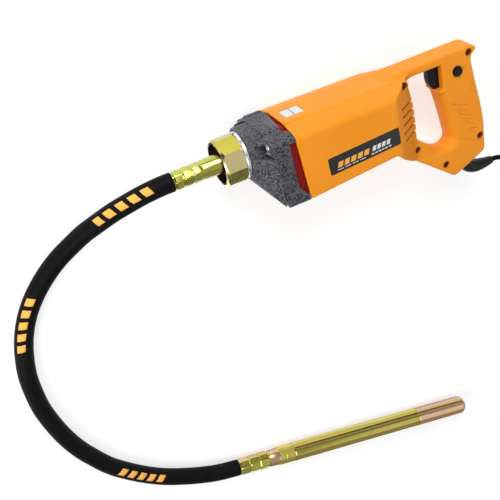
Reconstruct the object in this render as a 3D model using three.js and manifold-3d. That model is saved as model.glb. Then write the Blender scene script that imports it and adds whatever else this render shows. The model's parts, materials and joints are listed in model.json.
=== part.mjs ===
// A hand-held electric concrete vibrator lying on its right side: a motor unit with a D-handle, a flexible
// drive hose and a vibrating poker. Millimetres, +Z up, the floor is Z = 0.
// The motor unit is built in its own frame: +X towards the nose, +Y towards its left side, +Z its own top,
// with the output spindle on the X axis. One group lays it down on its right side.
import * as THREE from "three";
import { ConvexGeometry } from "three/addons/geometries/ConvexGeometry.js";
import { mergeVertices } from "three/addons/utils/BufferGeometryUtils.js";
import Module from "manifold-3d";

const wasm = await Module();
wasm.setup();

// ---- driving dimensions -------------------------------------------------------------------------------
const GAP = 0.3; // between pieces that touch
const HALF_WIDTH = 66; // body, from the middle plane to either flat side
const PLATEAU_TOP = 38; // flat top of the body above the spindle axis
const PLATEAU_HALF = 30;
const PLATEAU_REAR = -180;
const ROOF_FALL = 0.011; // drop of the housing's roof per length towards the handle
const SHOULDER_Y = 58; // where the roof turns down into the side
const SHOULDER_TOP = 29.8;
const SHOULDER_LOW = 22;
const BOTTOM_FRONT = -80; // underside below the spindle axis at the front edge of the housing
const BOTTOM_SLOPE = -0.07; // the underside rises towards the handle
const BODY_REAR = -172; // where the flat sides end
const WAIST_REAR = -222; // where the body has narrowed to the handle
const HANDLE_HALF = 21; // half thickness of the D-handle
const HANDLE_TOP_FRONT = 40.8;
const HANDLE_TOP_REAR = 41.8;
const FRONT_LEAN = -7.8; // how far the joint with the gear case leans back at the bottom
const WALL = 3.2;
const CASE_INSET = 1;
const CASE_FRONT = 38; // front edge of the gear case's flat sides
const BOSS_FRONT = 64.5;
const BOSS_HALF = 38;
const BOSS_CORNER_R = 30;
const SPINDLE_R = 8;
const MOTOR_Z = -20; // motor axis, below the spindle axis
const GEAR_MODULE = 1.25;
const PINION_TEETH = 8;
const GEAR_TEETH = 24; // centre distance (8 + 24) / 2 * 1.25 = 20
const PRESSURE_ANGLE = (25 * Math.PI) / 180;
const STATOR_R = 46;
const STATOR_X = [-90, -38];
const ARMATURE_R = 25;
const COLLAR_R = 37.5;
const NUT_X = [70.6, 104.6];
const NUT_R = 38; // across corners / 2
const NUT_SHOULDER_X = 94;
const NUT_RECESS_X = 98; // the open end round the ferrule
const NUT_RECESS_R = 31;
const FERRULE_X = [90.4, 179];
const FERRULE_FLANGE_FRONT = 93.7;
const FERRULE_BORE_R = 9.5;
const HOSE_R = 15;
const HOSE_BORE_R = 9;
const CORE_R = 5;
const POKER_R = 18;
const POKER_LENGTH = 504;
const CORD_R = 4.25;
const COIL_MEAN_R = 44;
// The frame's origin is on the right side face, 80 behind the housing's front edge and 30 below the spindle.
const ORIGIN_X = 80;
const ORIGIN_Y = -30;

// Sides of the round solids, by size.
const FINE = 24;
const ROUND = 16;
const SMALL = 10;

// ---- materials ----------------------------------------------------------------------------------------
function finish(color, roughness, metalness) {
  return () => new THREE.MeshStandardMaterial({ color, roughness, metalness });
}
const orangePlastic = finish(0xf29a2e, 0.45, 0);
const blackPlastic = finish(0x151515, 0.5, 0);
const redPlastic = finish(0x8c0a06, 0.4, 0);
const blackRubber = finish(0x131211, 0.6, 0);
const paintedCasting = finish(0x46464c, 0.55, 0.3);
const yellowZinc = finish(0xb5a13c, 0.3, 1);
const brightSteel = finish(0xc6c8cc, 0.25, 1);
const darkSteel = finish(0x6d6e70, 0.4, 1);
const copper = finish(0xb06a35, 0.35, 1);
const laminate = finish(0x55524f, 0.5, 0.8);
const brass = finish(0xb59a4a, 0.3, 1);
const carbon = finish(0x242424, 0.7, 0);
const labelBlack = finish(0x17181a, 0.35, 0);
const labelGrey = finish(0xb4bab6, 0.4, 0);

// ---- shapes to solids ---------------------------------------------------------------------------------
function solidOf(geometry) {
  const plain = geometry.clone();
  plain.deleteAttribute("normal");
  plain.deleteAttribute("uv");
  const merged = mergeVertices(plain, 1e-3);
  const made = new wasm.Manifold(
    new wasm.Mesh({
      numProp: 3,
      vertProperties: merged.attributes.position.array,
      triVerts: new Uint32Array(merged.index.array),
    }),
  );
  return made;
}

function geometryOf(solid) {
  const mesh = solid.getMesh();
  const geometry = new THREE.BufferGeometry();
  geometry.setAttribute("position", new THREE.BufferAttribute(mesh.vertProperties.slice(), 3));
  geometry.setIndex(new THREE.BufferAttribute(mesh.triVerts.slice(), 1));
  geometry.computeVertexNormals();
  return geometry;
}

function joined(solids) {
  return solids.reduce((whole, next) => whole.add(next));
}

function cut(solid, tools) {
  return tools.reduce((left, tool) => left.subtract(tool), solid);
}

function polygon(points) {
  return new THREE.Shape(points.map(([a, b]) => new THREE.Vector2(a, b)));
}

function extruded(shape, depth, curveSegments = 4) {
  return new THREE.ExtrudeGeometry(shape, { depth, bevelEnabled: false, curveSegments, steps: 1 });
}

// A (Y, Z) outline run along X from low to high.
function alongX(shape, [low, high], curveSegments) {
  const turn = new THREE.Matrix4().set(0, 0, 1, low, 1, 0, 0, 0, 0, 1, 0, 0, 0, 0, 0, 1);
  return solidOf(extruded(shape, high - low, curveSegments).applyMatrix4(turn));
}

// An (X, Z) outline run along Y from low to high.
function alongY(shape, [low, high], curveSegments) {
  const geometry = extruded(shape, high - low, curveSegments).rotateX(Math.PI / 2);
  return solidOf(geometry.translate(0, high, 0));
}

// An (X, Y) outline run along Z from low to high.
function alongZ(shape, [low, high], curveSegments) {
  return solidOf(extruded(shape, high - low, curveSegments).translate(0, 0, low));
}

function block([x0, x1], [y0, y1], [z0, z1]) {
  const box = new THREE.BoxGeometry(x1 - x0, y1 - y0, z1 - z0);
  return solidOf(box.translate((x0 + x1) / 2, (y0 + y1) / 2, (z0 + z1) / 2));
}

// A lathe solid about the X axis. The profile is a closed list of [x, radius].
function turnedGeometry(profile, sides) {
  const ring = [...profile, profile[0]];
  const area = profile.reduce((sum, [x, r], i) => sum + x * ring[i + 1][1] - ring[i + 1][0] * r, 0);
  const ordered = area > 0 ? ring.reverse() : ring;
  const points = ordered.map(([x, r]) => new THREE.Vector2(r, x));
  return new THREE.LatheGeometry(points, sides).rotateZ(-Math.PI / 2);
}

function turned(profile, sides = ROUND, y = 0, z = 0) {
  return solidOf(turnedGeometry(profile, sides).translate(0, y, z));
}

function rod([x0, x1], radius, sides = ROUND, y = 0, z = 0) {
  const length = x1 - x0;
  const bar = new THREE.CylinderGeometry(radius, radius, length, sides).rotateZ(-Math.PI / 2);
  return solidOf(bar.translate(x0 + length / 2, y, z));
}

function ring([x0, x1], inner, outer, sides = ROUND, y = 0, z = 0) {
  return turned([[x0, inner], [x1, inner], [x1, outer], [x0, outer]], sides, y, z);
}

// A round bar along Y at (x, z).
function crossRod(x, z, radius, [y0, y1], sides = SMALL) {
  const bar = new THREE.CylinderGeometry(radius, radius, y1 - y0, sides);
  return solidOf(bar.translate(x, (y0 + y1) / 2, z));
}

// A round section swept along a smooth curve through points, with an optional bore.
function swept(points, radius, sides, steps, bore = 0) {
  const path = new THREE.CatmullRomCurve3(points.map((p) => new THREE.Vector3(...p)));
  const circle = (r) =>
    Array.from({ length: sides }, (_, i) => {
      const angle = (2 * Math.PI * i) / sides;
      return new THREE.Vector2(r * Math.cos(angle), r * Math.sin(angle));
    });
  const shape = new THREE.Shape(circle(radius));
  if (bore) shape.holes.push(new THREE.Path(circle(bore)));
  return new THREE.ExtrudeGeometry(shape, { steps, bevelEnabled: false, extrudePath: path });
}

// ---- placing ------------------------------------------------------------------------------------------
const vibrator = new THREE.Group();
const machine = new THREE.Group();
machine.rotation.x = Math.PI / 2;
machine.position.set(ORIGIN_X, ORIGIN_Y, HALF_WIDTH);
vibrator.add(machine);

function place(group, name, made, material) {
  const geometry = made.isBufferGeometry ? made : geometryOf(made);
  const mesh = new THREE.Mesh(geometry, material());
  mesh.name = name;
  group.add(mesh);
}

// ---- outer form shared by the housing, the gear case and the baffle -----------------------------------
function underside(x) {
  return BOTTOM_FRONT + BOTTOM_SLOPE * x;
}

// The body's cross-section, moved in by inset on every side.
function bodySection(inset) {
  const top = PLATEAU_TOP - inset;
  const side = HALF_WIDTH - inset;
  const shoulderY = SHOULDER_Y - inset * 0.6;
  const shoulderTop = SHOULDER_TOP - inset;
  const shoulderLow = SHOULDER_LOW - inset * 0.6;
  const low = underside(CASE_FRONT) - 5;
  const shape = new THREE.Shape();
  shape.moveTo(-side, low);
  shape.lineTo(side, low);
  shape.lineTo(side, shoulderLow);
  shape.quadraticCurveTo(side - 0.5, shoulderTop - 1, shoulderY, shoulderTop);
  shape.lineTo(PLATEAU_HALF + 1.2 - inset * 0.3, top - 1.6);
  shape.lineTo(PLATEAU_HALF - inset * 0.3, top);
  shape.lineTo(-PLATEAU_HALF + inset * 0.3, top);
  shape.lineTo(-PLATEAU_HALF - 1.2 + inset * 0.3, top - 1.6);
  shape.lineTo(-shoulderY, shoulderTop);
  shape.quadraticCurveTo(-side + 0.5, shoulderTop - 1, -side, shoulderLow);
  shape.closePath();
  return shape;
}

// The housing's section run along X, its roof falling towards the handle.
function housingSection(inset, range) {
  const level = alongX(bodySection(inset), range);
  return level.transform([1, 0, ROOF_FALL, 0, 0, 1, 0, 0, 0, 0, 1, 0, 0, 0, 0, 1]);
}

// X of the leaning joint plane between the housing and the gear case at height z.
function jointX(z) {
  return z > 20 ? 0 : (FRONT_LEAN * (20 - z)) / (20 - BOTTOM_FRONT);
}

// A slab of the body's section between two planes parallel to the joint, at distances front and back of it.
function bodySlab(inset, back, front) {
  const high = PLATEAU_TOP + 5;
  const low = underside((back + front) / 2) + inset;
  const profile = polygon([
    [jointX(low) + back, low],
    [jointX(low) + front, low],
    [front, 20],
    [front, high],
    [back, high],
    [back, 20],
  ]);
  const wide = [-HALF_WIDTH - 1, HALF_WIDTH + 1];
  const range = [Math.min(back, front) - 12, Math.max(back, front) + 2];
  return alongY(profile, wide).intersect(alongX(bodySection(inset), range));
}

// ---- housing ------------------------------------------------------------------------------------------
const SCREWS = [
  [-335.5, 32],
  [-204.5, 25],
  [-223.5, -99.5],
  [-275, -147],
  [-345, -119],
];
const CASE_SCREWS = [
  [50, 20],
  [-50, 20],
  [36, -66],
  [-36, -66],
];
const POST_R = 7.5;
const COUNTERBORE_R = 5.4;
const COUNTERBORE_Y = 13;
const SPOT_FACE_R = 7.5; // clears the rear slope above the screw that sits under it
const SPOT_FACE_Y = 23;
const SCREW_HEAD_R = 4.9;
const SCREW_R = 1.8;
const LOCK_X = -311.5;
const LOCK_Z = 8;

function sideOutline() {
  const shape = new THREE.Shape();
  shape.moveTo(jointX(BOTTOM_FRONT), BOTTOM_FRONT);
  shape.lineTo(0, 20);
  shape.lineTo(0, PLATEAU_TOP);
  shape.lineTo(PLATEAU_REAR, PLATEAU_TOP + ROOF_FALL * PLATEAU_REAR);
  shape.lineTo(-204, HANDLE_TOP_FRONT);
  shape.lineTo(-341, HANDLE_TOP_REAR);
  shape.quadraticCurveTo(-347.5, HANDLE_TOP_REAR, -350.5, 35);
  shape.quadraticCurveTo(-350, 31, -342.5, 26.5);
  shape.lineTo(-339.5, 20.5);
  shape.quadraticCurveTo(-343, -12, -348.5, -44);
  shape.quadraticCurveTo(-355, -82, -354.5, -106);
  shape.lineTo(-353, -145);
  shape.quadraticCurveTo(-352, -149, -346, -152);
  shape.lineTo(-300, -172);
  shape.quadraticCurveTo(-290, -177, -283, -169.5);
  shape.lineTo(-191, -95);
  shape.lineTo(-163, underside(-163));
  shape.closePath();
  return shape;
}

function gripOpening() {
  const shape = new THREE.Path();
  shape.moveTo(-215, 27);
  shape.quadraticCurveTo(-223.5, 2, -226, -26);
  shape.quadraticCurveTo(-227, -55, -225, -76);
  shape.quadraticCurveTo(-226, -84, -232, -89);
  shape.lineTo(-260, -111);
  shape.quadraticCurveTo(-270, -118, -280, -114);
  shape.quadraticCurveTo(-288, -110, -285.5, -101);
  shape.quadraticCurveTo(-280, -60, -270.5, -18);
  shape.lineTo(-268, -15);
  shape.lineTo(-278, -15);
  shape.lineTo(-278, 27);
  shape.closePath();
  return shape;
}

function planOutline(inset, wallInset) {
  const side = HALF_WIDTH - inset;
  const thin = HANDLE_HALF - wallInset;
  const half = [
    [2, side],
    [BODY_REAR, side],
    [WAIST_REAR, thin],
    [-362, thin],
  ];
  const mirrored = half.map(([x, y]) => [x, -y]).reverse();
  return polygon([...half, ...mirrored]);
}

// Hollow spaces, as (X, Z) outlines inside the shell.
function motorBay() {
  const profile = polygon([
    [6, underside(6) + WALL],
    [6, PLATEAU_TOP - WALL],
    [PLATEAU_REAR, PLATEAU_TOP + ROOF_FALL * PLATEAU_REAR - WALL],
    [-205, 30],
    [-212, 20],
    [-218, -2],
    [-221, -30],
    [-220, -80],
    [-196, -91],
    [-166, underside(-166) + WALL],
  ]);
  const section = housingSection(WALL, [-224, 7]);
  return alongY(profile, [-HALF_WIDTH + WALL, HALF_WIDTH - WALL])
    .intersect(section)
    .intersect(alongZ(planOutline(WALL, WALL), [-190, 60]));
}

function gripBay() {
  const profile = polygon([
    [-284, 22],
    [-331, 22],
    [-337, -14],
    [-343.5, -50],
    [-349, -84],
    [-349, -108],
    [-348, -141],
    [-340, -148],
    [-298, -166],
    [-288, -167],
    [-262, -146],
    [-214, -107],
    [-212, -84],
    [-221, -82],
    [-229, -94],
    [-257, -116],
    [-270, -123.5],
    [-283, -120],
    [-293, -110],
    [-291, -100],
    [-285, -60],
    [-277, -20],
    [-284, -15],
  ]);
  return alongY(profile, [-HANDLE_HALF + WALL, HANDLE_HALF - WALL]);
}

// Five slots down each rear slope, which also notch the front wall of the grip opening.
const VENT_COUNT = 5;
const VENT_PITCH = 13.6;
const VENT_HEIGHT = 4.2;
const VENT_TOP = -1.5;
const VENT_X = [-233, -186];
const VENT_INNER_Y = 12;
const VENT_TILT = 0.22; // fall per length of the first slot
const VENT_TILT_STEP = 0.012; // each slot below falls a little less
function ventSlots() {
  const tools = [];
  for (let i = 0; i < VENT_COUNT; i++) {
    const front = VENT_TOP - VENT_PITCH * i;
    const rear = front - (VENT_X[1] - VENT_X[0]) * (VENT_TILT - VENT_TILT_STEP * i);
    const profile = polygon([
      [VENT_X[0], rear - VENT_HEIGHT],
      [VENT_X[1], front - VENT_HEIGHT],
      [VENT_X[1], front],
      [VENT_X[0], rear],
    ]);
    tools.push(alongY(profile, [VENT_INNER_Y, HALF_WIDTH]));
    tools.push(alongY(profile, [-HALF_WIDTH, -VENT_INNER_Y]));
  }
  return tools;
}

// Webs that carry the stator and the rear motor bearing.
function motorWebs() {
  const statorWeb = housingSection(WALL - 1, [-82, -78]);
  const bearingWeb = housingSection(WALL - 1, [-137, -133]);
  const seat = ring([-133.5, -123], 13.3, 16.5, ROUND, 0, MOTOR_Z);
  const holes = [
    rod([-83, -77], STATOR_R + 2 * GAP, FINE, 0, MOTOR_Z),
    rod([-138, -132], 7.5, ROUND, 0, MOTOR_Z),
    block([-138, -132], [-48, -30], [-8, 24]),
    block([-138, -132], [30, 48], [-8, 24]),
  ];
  return cut(joined([statorWeb, bearingWeb]), holes).add(seat);
}

const LABEL_TILT = 0.05;
const LABEL_SIZE = [125, 28.4];
const LABEL_CENTRE = [-107.5, -38];
const LABEL_THICK = 0.8;
function labelBlock(grow, depth) {
  const box = new THREE.BoxGeometry(LABEL_SIZE[0] + 2 * grow, depth, LABEL_SIZE[1] + 2 * grow);
  box.rotateY(LABEL_TILT);
  return solidOf(box.translate(LABEL_CENTRE[0], HALF_WIDTH - depth / 2, LABEL_CENTRE[1]));
}

const BADGE_X = [-44, -12];
const BADGE_HALF = 14;

// A block round a screw at (y, z) that reaches out to the body's corner beside it.
function cornerBlock(y, z, range) {
  const reach = 30;
  const ys = y > 0 ? [y - 7, y + reach] : [y - reach, y + 7];
  const zs = z > 0 ? [z - 7, z + reach] : [z - reach, z + 7];
  return block(range, ys, zs);
}

function housingBody() {
  const outline = sideOutline();
  outline.holes.push(gripOpening());
  const profile = alongY(outline, [-HALF_WIDTH, HALF_WIDTH], 3);
  const plan = alongZ(planOutline(0, 0), [-190, 60]);
  const section = housingSection(0, [WAIST_REAR - 2, 1]);
  const handle = block([-362, BODY_REAR], [-HANDLE_HALF, HANDLE_HALF], [-190, 60]);
  const outer = profile.intersect(plan).intersect(section.add(handle));
  const hollow = cut(outer, [motorBay(), gripBay()]);
  const posts = SCREWS.map(([x, z]) => crossRod(x, z, POST_R, [-HANDLE_HALF, HANDLE_HALF]));
  const lugs = CASE_SCREWS.map(([y, z]) => {
    const lean = z > 0 ? 0 : FRONT_LEAN;
    return cornerBlock(y, z, [-30 + lean, -17 + lean]);
  });
  const inside = joined([...posts, ...lugs, motorWebs()]).intersect(outer);
  const whole = hollow.add(inside);
  const badgePocket = block(
    [BADGE_X[0] - GAP, BADGE_X[1] + GAP],
    [-BADGE_HALF - GAP, BADGE_HALF + GAP],
    [PLATEAU_TOP - 1.6, PLATEAU_TOP + 1],
  );
  const tools = [
    ...ventSlots(),
    labelBlock(GAP, LABEL_THICK + GAP),
    badgePocket,
    block([-291, -270], [-11.6, 11.6], [-15, 26.8]),
    crossRod(LOCK_X, LOCK_Z, 9, [17, 22], ROUND),
    ...CASE_SCREWS.map(([y, z]) => rod([-45, -16], 2.9, SMALL, y, z)),
    crossRod(-322, -163, 7, [-7, 7]),
  ];
  for (const [x, z] of SCREWS) {
    tools.push(crossRod(x, z, COUNTERBORE_R, [COUNTERBORE_Y, HALF_WIDTH], ROUND));
    tools.push(crossRod(x, z, SCREW_R + GAP, [-16, COUNTERBORE_Y + 1]));
  }
  const [spotX, spotZ] = SCREWS[1];
  tools.push(crossRod(spotX, spotZ, SPOT_FACE_R, [SPOT_FACE_Y, HALF_WIDTH], ROUND));
  return cut(whole, tools);
}

const housing = housingBody();
const leftSpace = block([-400, 20], [GAP / 2, HALF_WIDTH + 5], [-200, 80]);
const rightSpace = block([-400, 20], [-HALF_WIDTH - 5, -GAP / 2], [-200, 80]);
place(machine, "housing_left", housing.intersect(leftSpace), orangePlastic);
place(machine, "housing_right", housing.intersect(rightSpace), orangePlastic);

SCREWS.forEach(([x, z], i) => {
  const head = crossRod(x, z, SCREW_HEAD_R, [COUNTERBORE_Y + GAP, COUNTERBORE_Y + 3.3], ROUND);
  const shank = crossRod(x, z, SCREW_R, [-15, COUNTERBORE_Y + 0.5]);
  const slot = block([x - 0.6, x + 0.6], [15.2, 17], [z - 2.8, z + 2.8]);
  const cross = block([x - 2.8, x + 2.8], [15.2, 17], [z - 0.6, z + 0.6]);
  place(machine, `housing_screw_${i + 1}`, cut(head.add(shank), [slot, cross]), darkSteel);
});

place(machine, "side_label", labelBlock(0, LABEL_THICK), labelBlack);
const badgeZ = [PLATEAU_TOP - 1.2, PLATEAU_TOP - 0.3];
place(machine, "top_badge", block(BADGE_X, [-BADGE_HALF, BADGE_HALF], badgeZ), labelGrey);

// ---- gear case ----------------------------------------------------------------------------------------
function roundedSquare(half, radius) {
  const shape = new THREE.Shape();
  shape.moveTo(-half + radius, -half);
  shape.lineTo(half - radius, -half);
  shape.quadraticCurveTo(half, -half, half, -half + radius);
  shape.lineTo(half, half - radius);
  shape.quadraticCurveTo(half, half, half - radius, half);
  shape.lineTo(-half + radius, half);
  shape.quadraticCurveTo(-half, half, -half, half - radius);
  shape.lineTo(-half, -half + radius);
  shape.quadraticCurveTo(-half, -half, -half + radius, -half);
  return shape;
}

// A hull between a (Y, Z) outline at one X and another outline at a second X.
function taperedBlock(rear, rearX, front, frontX) {
  const at = (points, x) => points.map((p) => new THREE.Vector3(x, p.x, p.y));
  return solidOf(new ConvexGeometry([...at(rear, rearX), ...at(front, frontX)]));
}

// Air slots, as outlines: (X, Z) down each side between the corner lugs, and (X, Y) across the roof.
const SIDE_SLOT = [[-16, 20], [11.5, 20], [8.5, -53], [-3, -70], [-16, -70]];
const SIDE_SLOT_Y = [56.5, 80];
const ROOF_SLOT = [[-2, -40], [0.4, -34], [4.5, -9], [7.1, 10.5], [10.6, 40], [10.6, 44], [-2, 44]];
const COLUMN_R = 5.6; // spacer round each case screw, between the gear plate and the case's front wall
const NOSE_BASE = [
  [-65, -78],
  [65, -78],
  [65, 16],
  [58, 27],
  [30, 34.5],
  [-30, 34.5],
  [-58, 27],
  [-65, 16],
].map(([y, z]) => new THREE.Vector2(y, z));

function gearCase() {
  const slab = bodySlab(CASE_INSET, 0.4, CASE_FRONT);
  const noseFront = roundedSquare(BOSS_HALF, BOSS_CORNER_R).getPoints(4);
  const nose = taperedBlock(NOSE_BASE, CASE_FRONT - 4, noseFront, BOSS_FRONT);
  const bay = bodySlab(CASE_INSET + 4, -12, CASE_FRONT - 7);
  const noseBay = taperedBlock(
    NOSE_BASE.map((p) => new THREE.Vector2(p.x * 0.86, (p.y + 25) * 0.84 - 25)),
    CASE_FRONT - 16,
    roundedSquare(24, 10).getPoints(3),
    CASE_FRONT + 6,
  );
  const columns = CASE_SCREWS.map(([y, z]) => {
    const spacer = rod([6.9 + jointX(z), 14], COLUMN_R, SMALL, y, z);
    return rod([13.2, 36], 8.5, SMALL, y, z).add(spacer);
  });
  const solid = cut(slab.add(nose), [bay, noseBay]).add(
    joined(columns).intersect(slab.add(nose)),
  );
  const tools = [
    rod([CASE_FRONT - 2, 56.3], 17.3, ROUND), // front bearing seat
    rod([55, BOSS_FRONT + 1], 12.5), // seal seat
    ...CASE_SCREWS.map(([y, z]) => rod([-12, 60], 3, SMALL, y, z)),
    ...CASE_SCREWS.map(([y, z]) => rod([36, 70], 9, ROUND, y, z)),
    alongY(polygon(SIDE_SLOT), SIDE_SLOT_Y),
    alongY(polygon(SIDE_SLOT), SIDE_SLOT_Y.map((y) => -y).reverse()),
    alongZ(polygon(ROOF_SLOT), [20, 60]),
    block([-14, 5], [-28, 28], [-100, -70]),
  ];
  return cut(solid, tools);
}
place(machine, "gear_case", gearCase(), paintedCasting);

CASE_SCREWS.forEach(([y, z], i) => {
  const head = rod([36.3, 41], 5.5, ROUND, y, z);
  const shank = rod([-30, 36.5], 2.5, SMALL, y, z);
  const socket = rod([38.6, 42], 2.6, 6, y, z);
  place(machine, `case_screw_${i + 1}`, head.add(shank).subtract(socket), brightSteel);
});

function airBaffle() {
  const outer = bodySlab(5.5, -15, 12.5);
  const inner = bodySlab(8, -12.6, 14);
  const tools = [
    inner,
    rod([-30, 0], 44, FINE, 0, MOTOR_Z),
    ...CASE_SCREWS.map(([y, z]) => rod([-30, 2], 3, SMALL, y, z)),
    ...CASE_SCREWS.map(([y, z]) => rod([-3, 20], COLUMN_R + GAP, SMALL, y, z)),
  ];
  return cut(outer, tools);
}
place(machine, "air_baffle", airBaffle(), redPlastic);

function gearPlate() {
  const plate = bodySlab(10, 2, 6).add(ring([-9.5, 3], 10, 19.5, ROUND, 0, MOTOR_Z));
  const seat = rod([5, 13], 12.5);
  const tools = [
    rod([-10, 1.3], 16.5, ROUND, 0, MOTOR_Z),
    rod([0, 20], 7.3, ROUND, 0, MOTOR_Z),
    rod([5.7, 14], 10.4),
    ...CASE_SCREWS.map(([y, z]) => rod([-20, 20], 3, SMALL, y, z)),
  ];
  return cut(plate.add(seat), tools);
}
place(machine, "gear_plate", gearPlate(), brightSteel);

// ---- gears --------------------------------------------------------------------------------------------
const BACKLASH = 0.45;
const ADDENDUM = 0.8 * GEAR_MODULE;
const DEDENDUM = 1.2 * GEAR_MODULE;

// An involute tooth outline, with a tooth centred on the angle given.
function gearOutline(teeth, firstAngle) {
  const pitchR = (teeth * GEAR_MODULE) / 2;
  const baseR = pitchR * Math.cos(PRESSURE_ANGLE);
  const involute = (angle) => Math.tan(angle) - angle;
  const pitchHalf = ((Math.PI * GEAR_MODULE) / 2 - BACKLASH / 2) / (2 * pitchR);
  const halfAt = (r) => pitchHalf + involute(PRESSURE_ANGLE) - involute(Math.acos(Math.min(1, baseR / r)));
  const tipR = pitchR + ADDENDUM;
  const rootR = pitchR - DEDENDUM;
  const flank = [Math.max(rootR, baseR), tipR];
  const points = [];
  for (let i = 0; i < teeth; i++) {
    const centre = firstAngle + (2 * Math.PI * i) / teeth;
    const side = flank.map((r) => [r, halfAt(r)]);
    const rising = [[rootR, side[0][1]], ...side].map(([r, half]) => [r, centre - half]);
    const falling = [...side].reverse().concat([[rootR, side[0][1]]]).map(([r, half]) => [r, centre + half]);
    points.push(...rising, ...falling);
  }
  const unique = points.filter(([r, a], i) => {
    const [pr, pa] = points[(i + points.length - 1) % points.length];
    return Math.abs(pr - r) + Math.abs(pa - a) > 1e-6;
  });
  return polygon(unique.map(([r, a]) => [r * Math.cos(a), r * Math.sin(a)]));
}

// The pinion sits below the gear, so its top tooth meets a gap at the gear's lowest point.
const pinionX = [19, 33];
const pinion = alongX(gearOutline(PINION_TEETH, Math.PI / 2), pinionX).translate([0, 0, MOTOR_Z]);
const gearX = [20, 32];
const driveGear = alongX(gearOutline(GEAR_TEETH, -Math.PI / 2 + Math.PI / GEAR_TEETH), gearX);
place(machine, "drive_gear", driveGear.subtract(rod([0, 60], SPINDLE_R + GAP)), darkSteel);

// ---- output spindle -----------------------------------------------------------------------------------
const spindle = turned([[6.2, 0], [6.2, 5], [14, 5], [14, SPINDLE_R], [88, SPINDLE_R], [88, 0]]);
const socketHalf = 4.2;
const driveSocket = block([70, 89], [-socketHalf, socketHalf], [-socketHalf, socketHalf]);
place(machine, "output_spindle", spindle.subtract(driveSocket), brightSteel);
place(machine, "spindle_bearing_front", ring([46, 56], SPINDLE_R + GAP, 17), brightSteel);
place(machine, "spindle_bearing_rear", ring([6.4, 12.6], 5 + GAP, 10), brightSteel);
place(machine, "spindle_seal", ring([57, 61], SPINDLE_R + GAP, 12), blackRubber);

// ---- nose: collar, union nut and hose ferrule ---------------------------------------------------------
const collar = [
  [BOSS_FRONT + GAP, 12.5],
  [90, 12.5],
  [90, 27],
  [70, 27],
  [70, COLLAR_R - 1],
  [69, COLLAR_R],
  [BOSS_FRONT + GAP, COLLAR_R],
];
place(machine, "spindle_collar", turned(collar, FINE), brightSteel);

function unionNut() {
  const chamfered = turned([
    [NUT_X[0], 0],
    [NUT_X[0], NUT_R - 3],
    [NUT_X[0] + 3, NUT_R + 0.5],
    [NUT_X[1] - 4, NUT_R + 0.5],
    [NUT_X[1], NUT_R - 4],
    [NUT_X[1], 0],
  ], FINE);
  const firstCorner = Math.PI / 2 - 0.09;
  const corners = Array.from({ length: 8 }, (_, i) => {
    const angle = firstCorner + (Math.PI / 4) * i;
    return [NUT_R * Math.cos(angle), NUT_R * Math.sin(angle)];
  });
  const octagon = alongX(polygon(corners), NUT_X);
  const tools = [
    rod([NUT_X[0] - 1, NUT_SHOULDER_X], 27.6, FINE), // over the ferrule's flange
    rod([90, NUT_X[1] + 1], 17.6), // for the ferrule
    rod([NUT_RECESS_X, NUT_X[1] + 1], NUT_RECESS_R, FINE),
  ];
  return cut(octagon.intersect(chamfered), tools);
}
place(machine, "union_nut", unionNut(), yellowZinc);

const ferrule = [
  [FERRULE_X[0], FERRULE_BORE_R],
  [FERRULE_X[1], FERRULE_BORE_R],
  [FERRULE_X[1], 14],
  [168, 14.6],
  [150, 15.3],
  [138, 15],
  [96, 16.4],
  [FERRULE_FLANGE_FRONT, 16.4],
  [FERRULE_FLANGE_FRONT, 26],
  [FERRULE_X[0], 26],
];
place(machine, "hose_ferrule", turned(ferrule), yellowZinc);

const coreEnd = turned([[96, 0], [96, CORE_R], [178.6, CORE_R], [178.6, 0]], SMALL);
place(machine, "core_end_machine", coreEnd.add(block([72, 97], [-3.8, 3.8], [-3.8, 3.8])), brightSteel);

// ---- motor --------------------------------------------------------------------------------------------
const shaft = turned([
  [-140, 0],
  [-140, 5],
  [-133, 5],
  [-133, 6.5],
  [-121, 6.5],
  [-121, 8],
  [-11, 8],
  [-11, 6.5],
  [3, 6.5],
  [3, 5.5],
  [12, 5.5],
  [12, 3.6],
  [20, 3.6],
  [20, 0],
], ROUND, 0, MOTOR_Z);
place(machine, "armature_shaft", shaft.add(pinion), brightSteel);

function toothedDisc(outer, slotDepth, count, slotShare) {
  const points = [];
  for (let i = 0; i < count; i++) {
    const step = (2 * Math.PI) / count;
    const start = step * i;
    const edge = step * slotShare;
    const turns = [
      [outer, start],
      [outer, start + step - edge],
      [outer - slotDepth, start + step - edge],
      [outer - slotDepth, start + step],
    ];
    points.push(...turns.map(([r, a]) => [r * Math.cos(a), r * Math.sin(a)]));
  }
  return polygon(points);
}
const shaftHole = rod([-200, 60], 8 + GAP, ROUND, 0, MOTOR_Z);
const armature = alongX(toothedDisc(ARMATURE_R, 6, 12, 0.25), STATOR_X).translate([0, 0, MOTOR_Z]);
place(machine, "armature_core", armature.subtract(shaftHole), laminate);
place(machine, "commutator", rod([-117, -100], 17, ROUND, 0, MOTOR_Z).subtract(shaftHole), brass);
place(machine, "motor_bearing_front", ring([-8.5, 1], 6.5 + GAP, 16, ROUND, 0, MOTOR_Z), brightSteel);
place(machine, "motor_bearing_rear", ring([-132.5, -124], 6.5 + GAP, 12.9, ROUND, 0, MOTOR_Z), brightSteel);

function coolingFan() {
  const hub = rod([-28, -12], 13, ROUND, 0, MOTOR_Z);
  const disc = rod([-28, -25.5], 40, FINE, 0, MOTOR_Z);
  const blades = Array.from({ length: 9 }, (_, i) => {
    const blade = new THREE.BoxGeometry(14, 29, 2.2).translate(-19.5, 25, 0);
    blade.rotateX((2 * Math.PI * i) / 9).translate(0, 0, MOTOR_Z);
    return solidOf(blade);
  });
  return joined([hub, disc, ...blades]).subtract(shaftHole);
}
place(machine, "cooling_fan", coolingFan(), blackPlastic);

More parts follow.
